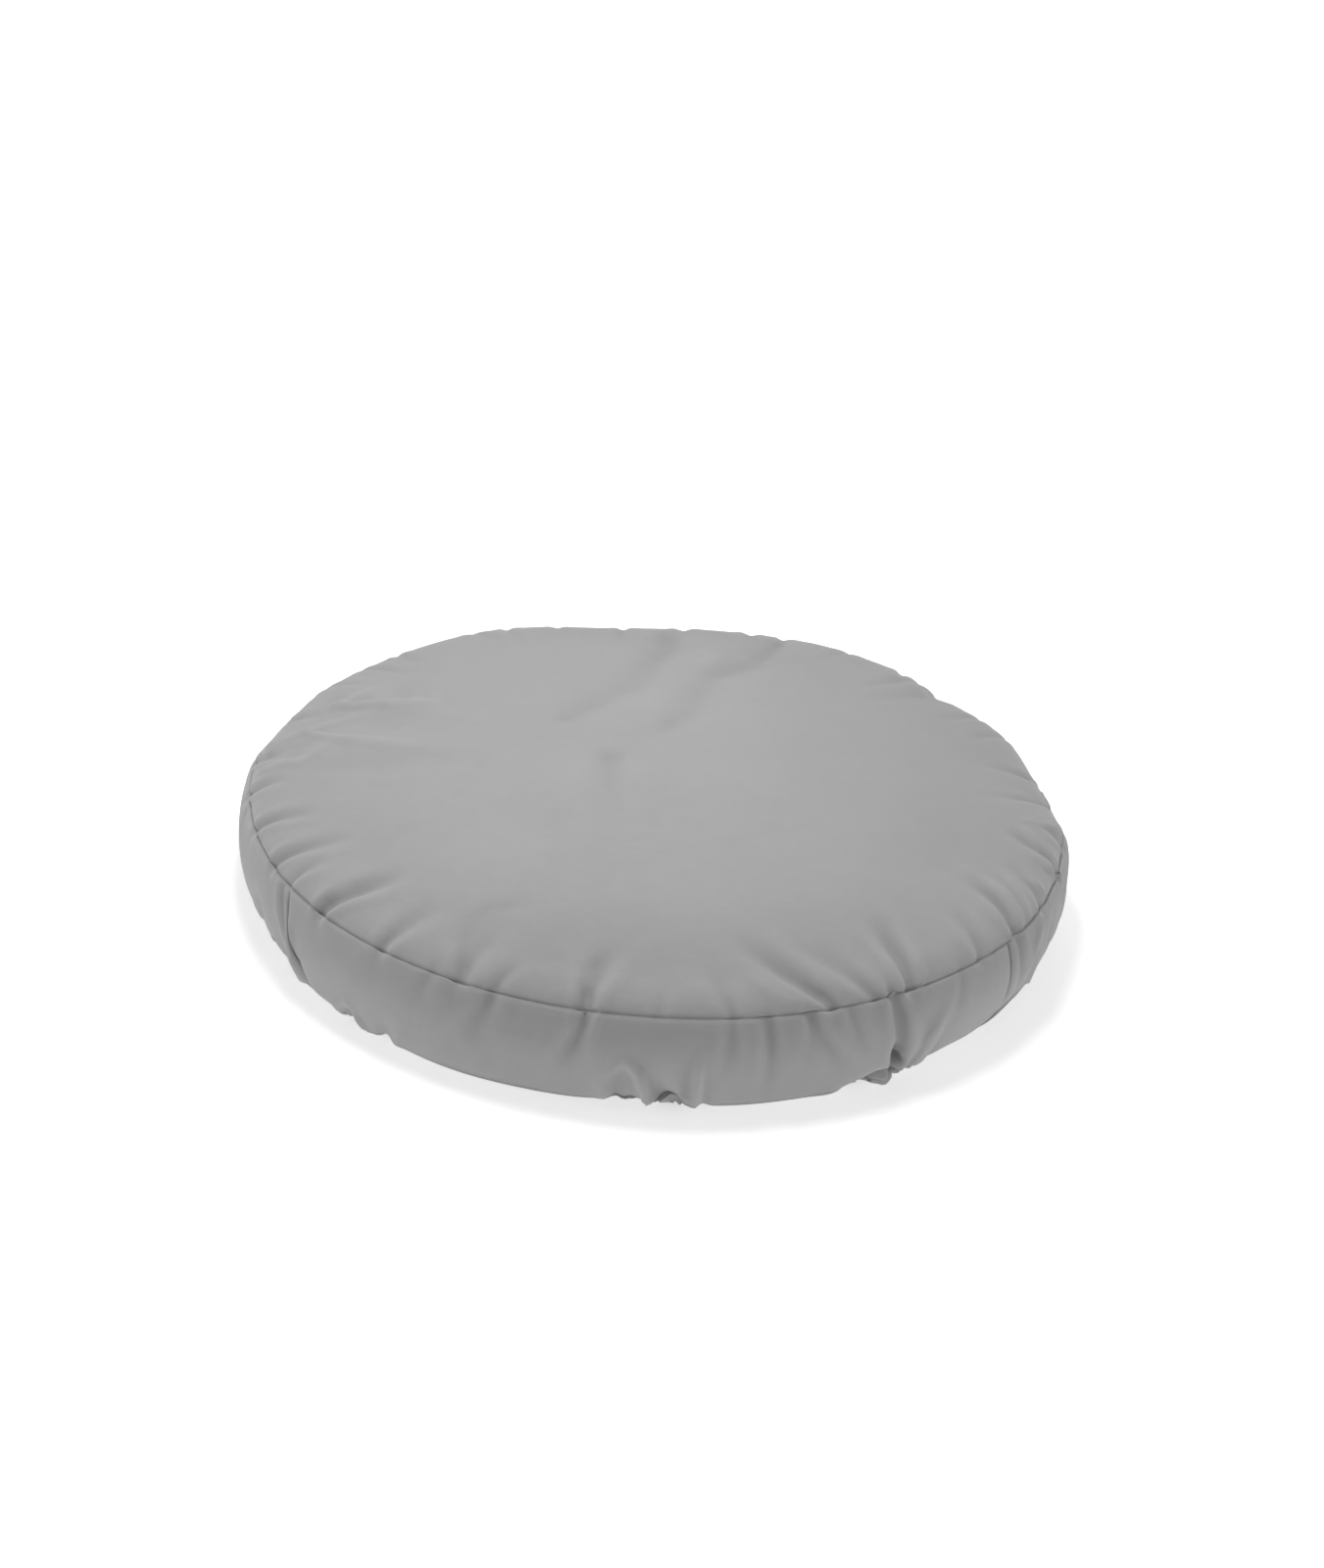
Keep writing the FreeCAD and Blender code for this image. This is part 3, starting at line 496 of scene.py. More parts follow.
FROM_SEAM = 0.001  # where the folds that begin at the top seam are full
FOLD_ONSET = 0.007  # distance before its start over which a fold rises


def fold(cover, radius, start, end, depth, width):
    """How far a pucker between two places on the cloth lowers each vertex. It is full and narrow at its
    start, and fades and widens towards its end."""
    (first, place), (last, far) = start, end
    share = (cover.along - place) / (far - place)
    inside = np.clip(share, 0, 1)
    centre = first + (last - first) * inside
    across = np.radians(turned(cover.azimuth, centre)) * radius / (width * (0.4 + 0.6 * inside**0.7))
    before = np.minimum(share, 0) * abs(far - place)
    fade = np.cos(inside * math.pi / 2) ** 1.2 * np.exp(-((before / FOLD_ONSET) ** 2))
    return depth * fade * (1 - 1.3 * across**2) * np.exp(-0.8 * across**2)


def stroke(flat, line, height, width):
    """Height over flat points of a rounded crease along a line of points, fading and widening to its end."""
    line = np.asarray(line)
    lengths = np.linalg.norm(np.diff(line, axis=0), axis=1)
    passed = np.concatenate([[0], np.cumsum(lengths)]) / lengths.sum()
    nearest, share = np.full(len(flat), np.inf), np.zeros(len(flat))
    for k, start in enumerate(line[:-1]):
        span = line[k + 1] - start
        onward = np.clip((flat - start) @ span / (span @ span), 0, 1)
        distance = np.linalg.norm(flat - start - onward[:, None] * span, axis=1)
        share = np.where(distance < nearest, passed[k] + onward * (passed[k + 1] - passed[k]), share)
        nearest = np.minimum(nearest, distance)
    return height * (1 - 0.7 * share**2) * np.exp(-((nearest / (width * (1 + 0.5 * share))) ** 2))


def seen_from_above(line):
    """A line of (azimuth, radius) as points over the floor."""
    return [(r * math.cos(math.radians(a)), r * math.sin(math.radians(a))) for a, r in line]


def unrolled(azimuth, along):
    """Places on the band with the band laid out flat, the front in the middle."""
    return np.stack([np.radians(turned(azimuth, FRONT_MIDDLE)) * WIDEST, along], axis=-1)


def creased(azimuth, along, above, widen=1.0):
    """Height of the sharp creases at places on the cloth, which lie above these points of the floor."""
    on_top = np.clip((along + 0.005) / 0.02, 0, 1)
    flat = unrolled(azimuth, along)
    height = np.zeros(len(along))
    for line, rise, width in TOP_CREASES:
        height += on_top * stroke(above, seen_from_above(line), rise, width * widen)
    for line, rise, width in BAND_CREASES:
        height += (1 - on_top) * stroke(flat, unrolled(*np.array(line).T), rise, width * widen)
    return height


SEED = 7  # of the folds and lumps that aren't listed
HELD_TURN, HELD_TURN_FADE = 60, 6  # degrees each side of the back where the zip holds the cloth still
HELD_REACH, HELD_FADE = 0.027, 0.009  # above and below the zip
UNEVEN = 0.0022  # height of the filling's own unevenness near the rim
TOP_SPARE, FOOT_SPARE = 0.022, 0.035  # share that each seam's cloth is cut longer round the cushion
SPARE_REACH, TOP_SPARE_REACH = 0.05, 0.055  # from the seams, and up the top panel
# Azimuths of the folds that aren't listed.
OTHER_TOP_FOLDS, OTHER_BAND_FOLDS = np.arange(4.0, 160.0, 9.5), np.arange(-12.0, 206.0, 9.0)


def noise_round(azimuth, waves, rng):
    """Smooth noise round the cushion with these numbers of waves, about 1 high."""
    total = np.zeros(len(azimuth))
    for wave in waves:
        total += rng.normal() * np.cos(np.radians(azimuth) * wave + rng.uniform(0, 2 * math.pi))
    return total / math.sqrt(len(waves) / 2)


class Cloth:
    """The cover's cloth: the mean shape it is held to, and the size each edge was cut to."""

    def __init__(self, cover):
        self.cover = cover
        self.rng = np.random.default_rng(SEED)
        spokes = cover.spokes()
        radius, z, out, up = on_profile(cover.along).T
        self.radius = radius
        self.mean = np.column_stack([spokes * radius[:, None], z])
        self.normal = np.column_stack([spokes * out[:, None], up])
        from_back = np.abs(turned(cover.azimuth, ZIP_MIDDLE))
        rear = np.clip((HELD_TURN - from_back) / HELD_TURN_FADE + 1, 0, 1)
        at_zip = np.clip((HELD_REACH - np.abs(z - ZIP_Z)) / HELD_FADE, 0, 1) * (np.abs(out) > 0.2)
        self.free = 1 - rear * at_zip
        self.folds = self.shape_folds()
        self.edges, self.diagonals = springs(cover.faces)
        self.pairs = np.concatenate([self.edges, self.diagonals])
        near, far = self.edges.T
        self.ends, self.others = np.concatenate([near, far]), np.concatenate([far, near])
        self.degree = np.bincount(self.ends, minlength=len(z))
        self.target = self.mean + self.normal * (self.lumps() * self.free)[:, None]
        self.goal = self.target - self.normal * (self.folds * self.free)[:, None]
        self.cut = self.cut_lengths()

    def lumps(self):
        """Height of the filling's lumps and hollows over the mean shape."""
        a, along = self.cover.azimuth, self.cover.along
        height = np.zeros(len(a))
        for azimuth, place, rise, reach, across in LUMPS:
            aside = np.radians(turned(a, azimuth)) * self.radius
            height += rise * np.exp(-(((along - place) / reach) ** 2) - (aside / across) ** 2)
        on_top = np.clip(along / 0.03, 0, 1)
        for line, rise, width in TROUGHS:
            height += on_top * stroke(self.mean[:, :2], seen_from_above(line), rise, width)
        waves = noise_round(a, range(2, 9), self.rng)
        rim = np.exp(-(((along + 0.02) / 0.12) ** 2))
        return height + UNEVEN * waves * rim

    def shape_folds(self):
        """The folds' depth at each vertex: those listed, and others round the sides and the back."""
        cover, rng = self.cover, self.rng
        folds = [((a, FROM_SEAM), (b, length), depth, width) for a, b, length, depth, width in TOP_FOLDS]
        folds += [((a, p), (b, q), depth, width) for a, p, b, q, depth, width in BAND_FOLDS]
        for azimuth in OTHER_TOP_FOLDS:
            start = azimuth + rng.uniform(-3, 3)
            length, depth = rng.uniform(0.05, 0.11), rng.uniform(0.002, 0.0045)
            folds.append(((start, FROM_SEAM), (start + rng.uniform(-4, 4), length), depth, 0.013))
        for azimuth in OTHER_BAND_FOLDS:
            start = azimuth + rng.uniform(-3, 3)
            at_foot = rng.uniform() < 0.5
            first, last = (-0.12, -0.05) if at_foot else (-FROM_SEAM, -0.05)
            end = start + rng.uniform(-3, 3)
            folds.append(((start, first), (end, last), rng.uniform(0.0015, 0.0045), 0.012))
        return sum(fold(cover, self.radius, *ends_and_size) for ends_and_size in folds)

    def cut_lengths(self):
        """Each edge's length in the flat cloth: longer round the cushion near the seams."""
        cover = self.cover
        first, second = self.pairs.T
        span = self.goal[second] - self.goal[first]
        middle = (self.goal[second] + self.goal[first])[:, :2]
        around = np.column_stack([-middle[:, 1], middle[:, 0]])
        around /= np.linalg.norm(middle, axis=1)[:, None] + 1e-9
        round_part = np.einsum("ij,ij->i", span[:, :2], around)
        rest = np.maximum((span**2).sum(1) - round_part**2, 0)
        along = cover.along
        reach = np.where(along > 0, TOP_SPARE_REACH, SPARE_REACH)
        near_top = np.exp(-((along / reach) ** 2))
        near_low = np.exp(-(((along - BOTTOM_SEAM) / SPARE_REACH) ** 2))
        spare = (TOP_SPARE * near_top + FOOT_SPARE * near_low) * self.free
        spare = (spare[first] + spare[second]) / 2
        return np.sqrt((round_part * (1 + spare)) ** 2 + rest)


def scatter(index, values, count):
    """Adds rows of values up at their vertices."""
    return np.stack([np.bincount(index, values[:, k], count) for k in range(3)], axis=1)


STEPS, PASSES = 160, 5
# What each step does: the shares of the way back to the goal, outwards and sideways, the
# cloth's stiffness against bending, and the filling's push.
FILL, SLIDE, BEND, PRESSURE = 0.010, 0.004, 0.12, 0.00003
CARRIED, OVERSHOOT = 0.9, 1.4  # the share of the speed that is kept, and of the stretch that is taken out
DEEPEST, HIGHEST = 0.016, 0.010  # how far in and out the cloth may go from the filling's shape
FIRST_WRINKLES = 0.0006  # height of the uneven start that the cloth buckles from
WRINKLED_TOP, WRINKLED_FOOT = 0.07, 0.04  # how far from each seam it reaches


def simulate(cloth):
    """Lets the cloth buckle over the fill, and returns where its vertices end."""
    cover, normal, target = cloth.cover, cloth.normal, cloth.target
    count = len(target)
    first, second = cloth.pairs.T
    both = np.concatenate([first, second])
    valence = np.bincount(both, minlength=count)[:, None]

    def spread(field):
        return scatter(cloth.ends, field[cloth.others], count) / cloth.degree[:, None] - field

    free, goal = cloth.free[:, None], cloth.goal
    start = noise_round(cover.azimuth, range(30, 120, 3), cloth.rng)
    wrinkly = np.exp(-((cover.along / WRINKLED_TOP) ** 2))
    wrinkly += np.exp(-(((cover.along - BOTTOM_SEAM) / WRINKLED_FOOT) ** 2))
    place = goal + normal * (FIRST_WRINKLES * start * wrinkly * cloth.free)[:, None]
    speed = np.zeros_like(place)
    for _ in range(STEPS):
        before = place
        place = place + speed * CARRIED * free
        off = place - goal
        lift = np.einsum("ij,ij->i", off, normal)[:, None]
        place = place - free * (FILL * lift * normal + SLIDE * (off - lift * normal))
        place = place - free * BEND * spread(spread(place - goal)) + free * PRESSURE * normal
        for _ in range(PASSES):
            span = place[second] - place[first]
            length = np.linalg.norm(span, axis=1)
            push = span * (0.5 * (length - cloth.cut) / length)[:, None]
            place = place + free * OVERSHOOT * scatter(both, np.concatenate([push, -push]), count) / valence
        off = place - target
        lift = np.einsum("ij,ij->i", off, normal)
        capped = np.clip(lift, -DEEPEST, HIGHEST)
        place = place + normal * (capped - lift)[:, None]
        place[:, 2] = np.maximum(place[:, 2], 0.0)
        speed = place - before
    return place


# ------------------------------------------------------------------ meshes


def link(name, mesh):
    """An object of the scene from a mesh."""
    made = bpy.data.objects.new(name, mesh)
    bpy.context.scene.collection.objects.link(made)
    return made


def mesh_of(name, places, faces):
    """A smooth mesh from points and faces."""
    mesh = bpy.data.meshes.new(name)
    mesh.from_pydata(np.asarray(places).tolist(), [], [list(map(int, f)) for f in faces])
    mesh.polygons.foreach_set("use_smooth", [True] * len(mesh.polygons))
    mesh.set_sharp_from_angle(angle=math.radians(60))
    return mesh


def read(data, key, width):
    """A mesh's values as rows."""
    values = np.empty(len(data) * width, dtype=np.float64 if key != "vertex_index" else np.int32)
    data.foreach_get(key, values)
    return values.reshape(-1, width) if width > 1 else values


def add_uv(mesh, flat):
    """Lays each vertex at its place on the flat cloth, in metres."""
    layer = mesh.uv_layers.new(name="flat")
    layer.data.foreach_set("uv", flat[read(mesh.loops, "vertex_index", 1)].ravel())


def add_values(mesh, name, values):
    mesh.attributes.new(name, "FLOAT", "POINT").data.foreach_set("value", values)


def add_piece(name, mesh, node, material):
    """A piece of the cushion's own body that stands for a CAD node, with its finish."""
    made = link(name, mesh)
    mesh.materials.append(material)
    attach(made, "cushion")
    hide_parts(node)
    return made


def vertex_normals(place, quads):
    across = np.cross(place[quads[:, 2]] - place[quads[:, 0]], place[quads[:, 3]] - place[quads[:, 1]])
    total = sum(scatter(quads[:, k], across, len(place)) for k in range(4))
    return total / np.linalg.norm(total, axis=1)[:, None]


def seam_azimuth(seam, along):
    """Where an upright seam runs at places on the band."""
    if seam != FRONT_AZIMUTHS[0]:
        return np.full(len(along), float(seam))
    return seam + LEFT_SLANT * np.clip((TOP_SEAM - along) / (TOP_SEAM - BOTTOM_SEAM), 0, 1)


ALLOWANCE = 0.011  # cloth turned in along each seam
CREASE_DEPTH, CREASE_WIDTH = 0.0021, 0.0017  # the seam's own line
ROLL_DEPTH, ROLL_WIDTH = 0.0012, 0.0065  # the cloth that rolls in to it
DEEP = 0.006  # where the cloth lies deeper than this, it is evened out
EVENINGS = 10


class Fine:
    """The cover once subdivided: its vertices, their places on the cloth, its faces and their pieces."""

    def __init__(self, cover, cloth, places):
        mesh = mesh_of("whole_cover", places, cover.faces)
        mesh.polygons.foreach_set("material_index", cover.piece)
        for _ in PIECES + ("opening",):
            mesh.materials.append(None)
        add_values(mesh, "along", cover.along)
        add_values(mesh, "free", cloth.free)
        at = mesh.attributes.new("at", "FLOAT_VECTOR", "POINT")
        at.data.foreach_set("vector", cloth.mean.ravel())
        whole = link("whole_cover", mesh)
        smooth = whole.modifiers.new("smooth", "SUBSURF")
        smooth.levels = 1
        graph = bpy.context.evaluated_depsgraph_get()
        made = bpy.data.meshes.new_from_object(whole.evaluated_get(graph))
        self.place = read(made.vertices, "co", 3)
        self.along = read(made.attributes["along"].data, "value", 1)
        self.free = read(made.attributes["free"].data, "value", 1)
        self.at = read(made.attributes["at"].data, "vector", 3)
        self.azimuth = np.degrees(np.arctan2(self.at[:, 1], self.at[:, 0])) % 360
        self.faces = read(made.loops, "vertex_index", 1).reshape(-1, 4)
        self.piece = read(made.polygons, "material_index", 1).astype(int)
        bpy.data.objects.remove(whole)
        bpy.data.meshes.remove(made)
        self.seam = self.seam_distance()
        self.relax()
        self.normal = vertex_normals(self.place, self.faces)
        self.crease()
        self.normal = vertex_normals(self.place, self.faces)
        self.sew()
        self.normal = vertex_normals(self.place, self.faces)
        self.relief = self.raised()
        self.beyond = self.across_edges()

    def seam_distance(self):
        """How far each vertex is from the nearest seam."""
        distance = np.minimum(np.abs(self.along - TOP_SEAM), np.abs(self.along - BOTTOM_SEAM))
        on_band = (self.along < TOP_SEAM + 0.0001) & (self.along > BOTTOM_SEAM - 0.0001)
        for seam in SEAM_AZIMUTHS:
            off = np.radians(np.abs(turned(self.azimuth, seam_azimuth(seam, self.along)))) * WIDEST
            distance = np.where(on_band, np.minimum(distance, off), distance)
        return distance

    def mean_round(self, place):
        """The mean of each vertex's neighbours."""
        first, second = self.faces.ravel(), np.roll(self.faces, -1, axis=1).ravel()
        count = np.bincount(first, minlength=len(place))[:, None]
        return scatter(first, place[second], len(place)) / count

    def relax(self):
        """Evens out the cloth where it is pressed in deep, so that no fold ends in a jagged edge."""
        outward = vertex_normals(self.at, self.faces)
        depth = np.einsum("ij,ij->i", self.at - self.place, outward)
        share = 0.5 * (self.free * np.clip((depth - DEEP) / DEEP, 0, 1))[:, None]
        for _ in range(EVENINGS):
            self.place = self.place + share * (self.mean_round(self.place) - self.place)

    def crease(self):
        """Adds the creases that are too sharp for the simulated cloth."""
        height = creased(self.azimuth, self.along, self.at[:, :2]) * self.free
        self.place = self.place + self.normal * height[:, None]

    def sew(self):
        """Draws the cloth in along the seams."""
        drawn = CREASE_DEPTH * np.exp(-((self.seam / CREASE_WIDTH) ** 2))
        drawn += ROLL_DEPTH * (np.exp(-((self.seam / ROLL_WIDTH) ** 2)) - 0.5)
        drawn *= self.free
        self.place = self.place - self.normal * drawn[:, None]
        self.place[:, 2] = np.maximum(self.place[:, 2], 0.0)

    def raised(self):
        """How far each vertex stands above the cloth round it, in millimetres."""
        mean = self.place
        for _ in range(6):
            mean = self.mean_round(mean)
        return np.einsum("ij,ij->i", self.place - mean, self.normal) * 1000

    def across_edges(self):
        """The piece across each edge of each face."""
        first, second = self.faces, np.roll(self.faces, -1, axis=1)
        low, high = np.minimum(first, second).astype(np.int64), np.maximum(first, second)
        _, edge = np.unique((low * len(self.place) + high).ravel(), return_inverse=True)
        owner = np.repeat(np.arange(len(self.faces)), 4)
        total = np.bincount(edge, owner)
        return self.piece[(total[edge] - owner).astype(int)].reshape(-1, 4)


MIDDLES = {FRONT: FRONT_MIDDLE, LEFT: 183, RIGHT: 357, ZIP_LOWER: ZIP_MIDDLE, ZIP_UPPER: ZIP_MIDDLE}


def flat_place(piece, fine, used):
    """Where the vertices of a piece lie on its flat cloth, a strip's about the azimuth of its middle."""
    along, azimuth = fine.along[used], fine.azimuth[used]
    if piece in (TOP, BOTTOM):
        out = CROWN_END - along if piece == TOP else along - FLOOR_END
        return np.stack([out * np.cos(np.radians(azimuth)), out * np.sin(np.radians(azimuth))], axis=1)
    return np.stack([np.radians(turned(azimuth, MIDDLES[piece])) * WIDEST, along], axis=1)


def sewn_mesh(piece, fine):
    """One piece of the cover as cloth with its thickness, and its seam allowance turned back inside."""
    mine = fine.piece == piece
    used, index = np.unique(fine.faces[mine], return_inverse=True)
    quads = index.reshape(-1, 4)
    beyond = fine.beyond[mine]
    count = len(used)
    layers = [fine.place[used] - fine.normal[used] * (CLOTH * k) for k in range(4)]
    outer, inner, near, far = (count * k for k in range(4))
    turned_in = (fine.seam[used] < ALLOWANCE)[quads].all(axis=1)
    lip = quads[turned_in]
    faces = [quads, quads[:, ::-1] + inner, lip + near, lip[:, ::-1] + far]
    edge_first, edge_second = quads, np.roll(quads, -1, axis=1)
    sewn = (beyond != piece) & (beyond != OPENING)
    for chosen, top, low in (((beyond == OPENING), outer, inner), (sewn, outer, far)):
        a, b = edge_first[chosen], edge_second[chosen]
        faces.append(np.stack([b + top, a + top, a + low, b + low], axis=1))
    a, b = edge_first[sewn], edge_second[sewn]
    faces.append(np.stack([a + inner, b + inner, b + near, a + near], axis=1))
    first, second = lip, np.roll(lip, -1, axis=1)
    keys = (np.minimum(first, second).astype(np.int64) * count + np.maximum(first, second)).ravel()
    _, edge, times = np.unique(keys, return_inverse=True, return_counts=True)
    free_end = (times[edge] == 1).reshape(-1, 4) & ~sewn[turned_in]
    a, b = first[free_end], second[free_end]
    faces.append(np.stack([b + near, a + near, a + far, b + far], axis=1))
    faces = np.concatenate(faces)
    kept, compact = np.unique(faces, return_inverse=True)
    mesh = mesh_of(PIECES[piece], np.concatenate(layers)[kept], compact.reshape(-1, 4))
    rows = np.tile(used, 4)[kept]
    add_uv(mesh, flat_place(piece, fine, rows))
    add_values(mesh, "relief", fine.relief[rows])
    add_values(mesh, "seam", fine.seam[rows])
    return mesh


def tube(points, outward, radius, sides, closed):
    """Points and faces of round cord along a line, whose outward directions are known."""
    points, outward = np.asarray(points), np.asarray(outward)
    if closed:
        along = np.roll(points, -1, axis=0) - np.roll(points, 1, axis=0)
    else:
        along = np.gradient(points, axis=0)
    along /= np.linalg.norm(along, axis=1)[:, None]
    side = np.cross(along, outward)
    side /= np.linalg.norm(side, axis=1)[:, None]
    up = np.cross(side, along)
    turns = 2 * math.pi * np.arange(sides) / sides
    rings = points[:, None] + radius * (
        np.cos(turns)[None, :, None] * side[:, None] + np.sin(turns)[None, :, None] * up[:, None]
    )
    count = len(points)
    steps = np.arange(count if closed else count - 1)
    a = (steps[:, None] * sides + np.arange(sides)).ravel()
    b = (steps[:, None] * sides + (np.arange(sides) + 1) % sides).ravel()
    onward = (((steps + 1) % count)[:, None] * sides + np.arange(sides)).ravel()
    beside = (((steps + 1) % count)[:, None] * sides + (np.arange(sides) + 1) % sides).ravel()
    faces = np.stack([a, b, beside, onward], axis=1).tolist()
    if not closed:
        faces.append(list(range(sides))[::-1])
        faces.append([(count - 1) * sides + k for k in range(sides)])
    return rings.reshape(-1, 3), faces


def gathered(name, tubes):
    """One mesh of several separate tubes."""
    places, faces, first = [], [], 0
    for points, quads in tubes:
        places.append(points)
        faces += [[v + first for v in face] for face in quads]
        first += len(points)
    return mesh_of(name, np.concatenate(places), faces)


def round_points(azimuth, radius, z):
    """Points at azimuths in degrees, distances from the axis and heights."""
    a = np.radians(azimuth)
    return np.stack(np.broadcast_arrays(radius * np.cos(a), radius * np.sin(a), z), axis=-1)


def band_radius(z):
    """Distance of the band's outer face from the axis at heights on the band."""
    axis_r, bulge = band_arc()
    return axis_r + np.sqrt(bulge**2 - (np.asarray(z) - ZIP_Z) ** 2)


# ------------------------------------------------------------------ materials


class Finish:
    """A material built from nodes, one call a node."""

    def __init__(self, name):
        self.material = bpy.data.materials.new(name)
        self.material.use_nodes = True
        self.tree = self.material.node_tree
        self.shader = self.tree.nodes["Principled BSDF"]

    def node(self, kind, inputs=None, **settings):
        made = self.tree.nodes.new(kind)
        for key, value in settings.items():
            setattr(made, key, value)
        for key, value in (inputs or {}).items():
            if isinstance(value, bpy.types.NodeSocket):
                self.tree.links.new(value, made.inputs[key])
            else:
                made.inputs[key].default_value = value
        return made

    def set(self, **values):
        """Sets the shader's own sockets, by their names with _ for spaces."""
        for key, value in values.items():
            socket = self.shader.inputs[key.replace("_", " ")]
            if isinstance(value, bpy.types.NodeSocket):
                self.tree.links.new(value, socket)
            else:
                socket.default_value = value

    def noise(self, place, scale, detail=2.0, roughness=0.5):
        keys = {"Vector": place, "Scale": scale, "Detail": detail, "Roughness": roughness}
        return self.node("ShaderNodeTexNoise", keys).outputs["Fac"]

    def range(self, value, low, high, new_low, new_high):
        keys = {"Value": value, "From Min": low, "From Max": high, "To Min": new_low, "To Max": new_high}
        return self.node("ShaderNodeMapRange", keys).outputs["Result"]

    def vary(self, noise, low, high):
        """A noise spread from low to high, over nearly all of its range."""
        return self.range(noise, 0.3, 0.7, low, high)

    def place(self):
        """The point of the surface, in metres."""
        return self.node("ShaderNodeTexCoord").outputs["Object"]

    def joined(self, operation, *values):
        """Values joined two by two with one operation."""
        total = values[0]
        for value in values[1:]:
            total = self.node("ShaderNodeMath", {0: total, 1: value}, operation=operation).outputs[0]
        return total

    def tinted(self, colour, factor):
        """A colour made lighter or darker by a factor that varies over the surface."""
        value = self.node("ShaderNodeCombineColor", {"Red": factor, "Green": factor, "Blue": factor})
        mixed = self.node("ShaderNodeMix", data_type="RGBA", blend_type="MULTIPLY")
        mixed.inputs[0].default_value = 1.0
        mixed.inputs[6].default_value = (*colour, 1)
        self.tree.links.new(value.outputs[0], mixed.inputs[7])
        return mixed.outputs[2]

    def bumped(self, *layers):
        """Bumps of (height, depth in metres), each over the last."""
        normal = None
        for height, depth in layers:
            inputs = {"Height": height, "Strength": 1.0, "Distance": depth}
            if normal:
                inputs["Normal"] = normal
            normal = self.node("ShaderNodeBump", inputs).outputs[0]
        self.set(Normal=normal)


def weave(finish, flat, pitch):
    """The height of a plain weave over flat cloth: threads pass over and under each other."""
    threads = []
    for axis in range(2):
        split = finish.node("ShaderNodeSeparateXYZ", {0: flat})
        waves = finish.joined("MULTIPLY", split.outputs[axis], 2 * math.pi / pitch)
        threads.append(finish.node("ShaderNodeMath", {0: waves}, operation="SINE").outputs[0])
    return finish.joined("MULTIPLY", *threads)


def napped_cloth(name, colour, weave_pitch):
    """Soft brushed microfibre: a fine weave under a short nap that lies a little differently from place to
    place, with a painted highlight along the ridges, painted shade in the hollows and a painted shade line
    along the seams."""
    finish = Finish(name)
    flat = finish.node("ShaderNodeUVMap", uv_map="flat").outputs[0]
    place = finish.place()
    broad = finish.vary(finish.noise(place, 4.5, 3.0, 0.55), 0.97, 1.03)
    brushed = finish.vary(finish.noise(place, 45, 4.0, 0.6), 0.98, 1.02)
    fibres = finish.noise(place, 1400, 2.0, 0.6)
    fine = finish.vary(fibres, 0.95, 1.05)
    relief = finish.node("ShaderNodeAttribute", attribute_name="relief").outputs["Fac"]
    # painted highlight on the ridges and painted shade in the hollows, from how far the cloth stands out
    relief_highlight_and_shade = finish.range(relief, -0.8, 0.8, 0.95, 1.06)
    seam = finish.node("ShaderNodeAttribute", attribute_name="seam").outputs["Fac"]
    # painted shade along the seams, darkest on the seam line itself
    seam_shade = finish.range(seam, 0.0003, 0.0026, 0.90, 1.0)
    shade = finish.joined("MULTIPLY", broad, brushed, fine, relief_highlight_and_shade, seam_shade)
    finish.set(Base_Color=finish.tinted(colour, shade))
    rough = finish.vary(fibres, 0.82, 0.96)
    finish.set(Roughness=rough, Sheen_Weight=0.30, Sheen_Roughness=0.45, Specular_IOR_Level=0.22)
    finish.bumped(
        (finish.noise(place, 120, 3.0, 0.6), 0.00035),
        (weave(finish, flat, weave_pitch), 0.00006),
        (fibres, 0.00012),
    )
    return finish.material


def plain_cloth(name, colour, pitch):
    """A plain cloth or web whose weave can be made out."""
    finish = Finish(name)
    place = finish.place()
    flecks = finish.vary(finish.noise(place, 900, 2.0), 0.9, 1.08)
    patches = finish.vary(finish.noise(place, 30, 3.0), 0.96, 1.04)
    finish.set(Base_Color=finish.tinted(colour, finish.joined("MULTIPLY", flecks, patches)))
    finish.set(Roughness=finish.vary(finish.noise(place, 300), 0.75, 0.95), Sheen_Weight=0.15)
    finish.bumped((finish.noise(place, 1 / pitch, 2.0), 0.0001))
    return finish.material


def twisted_thread(name, colour):
    """Two-ply sewing thread."""
    finish = Finish(name)
    place = finish.place()
    keys = {"Vector": place, "Scale": 900.0, "Distortion": 2.0}
    plies = finish.node("ShaderNodeTexWave", keys, bands_direction="DIAGONAL")
    finish.set(Base_Color=finish.tinted(colour, finish.range(plies.outputs["Fac"], 0.0, 1.0, 0.85, 1.1)))
    finish.set(Roughness=0.6, Sheen_Weight=0.2)
    finish.bumped((plies.outputs["Fac"], 0.00008))
    return finish.material


def nylon(name, colour):
    """Satin nylon coil, a little scuffed."""
    finish = Finish(name)
    place = finish.place()
    scuffs = finish.noise(place, 700, 3.0)
    finish.set(Base_Color=finish.tinted(colour, finish.vary(scuffs, 0.9, 1.15)))
    finish.set(Roughness=finish.vary(scuffs, 0.3, 0.5), Coat_Weight=0.1)
    finish.bumped((scuffs, 0.00002))
    return finish.material


def painted_metal(name, colour):
    """Dark lacquered die-cast metal, rubbed paler where it is handled."""
    finish = Finish(name)
    place = finish.place()
    rubbed = finish.noise(place, 350, 5.0, 0.65)
    edges = finish.node("ShaderNodeNewGeometry").outputs["Pointiness"]
    patches = finish.range(rubbed, 0.35, 0.7, 0.85, 1.25)
    corners = finish.range(edges, 0.51, 0.58, 0.0, 0.9)
    finish.set(Base_Color=finish.tinted(colour, finish.joined("ADD", patches, corners)))
    finish.set(Metallic=0.85, Roughness=finish.vary(rubbed, 0.24, 0.42), Coat_Weight=0.15)
    finish.bumped((finish.noise(place, 900, 2.0), 0.000015))
    return finish.material


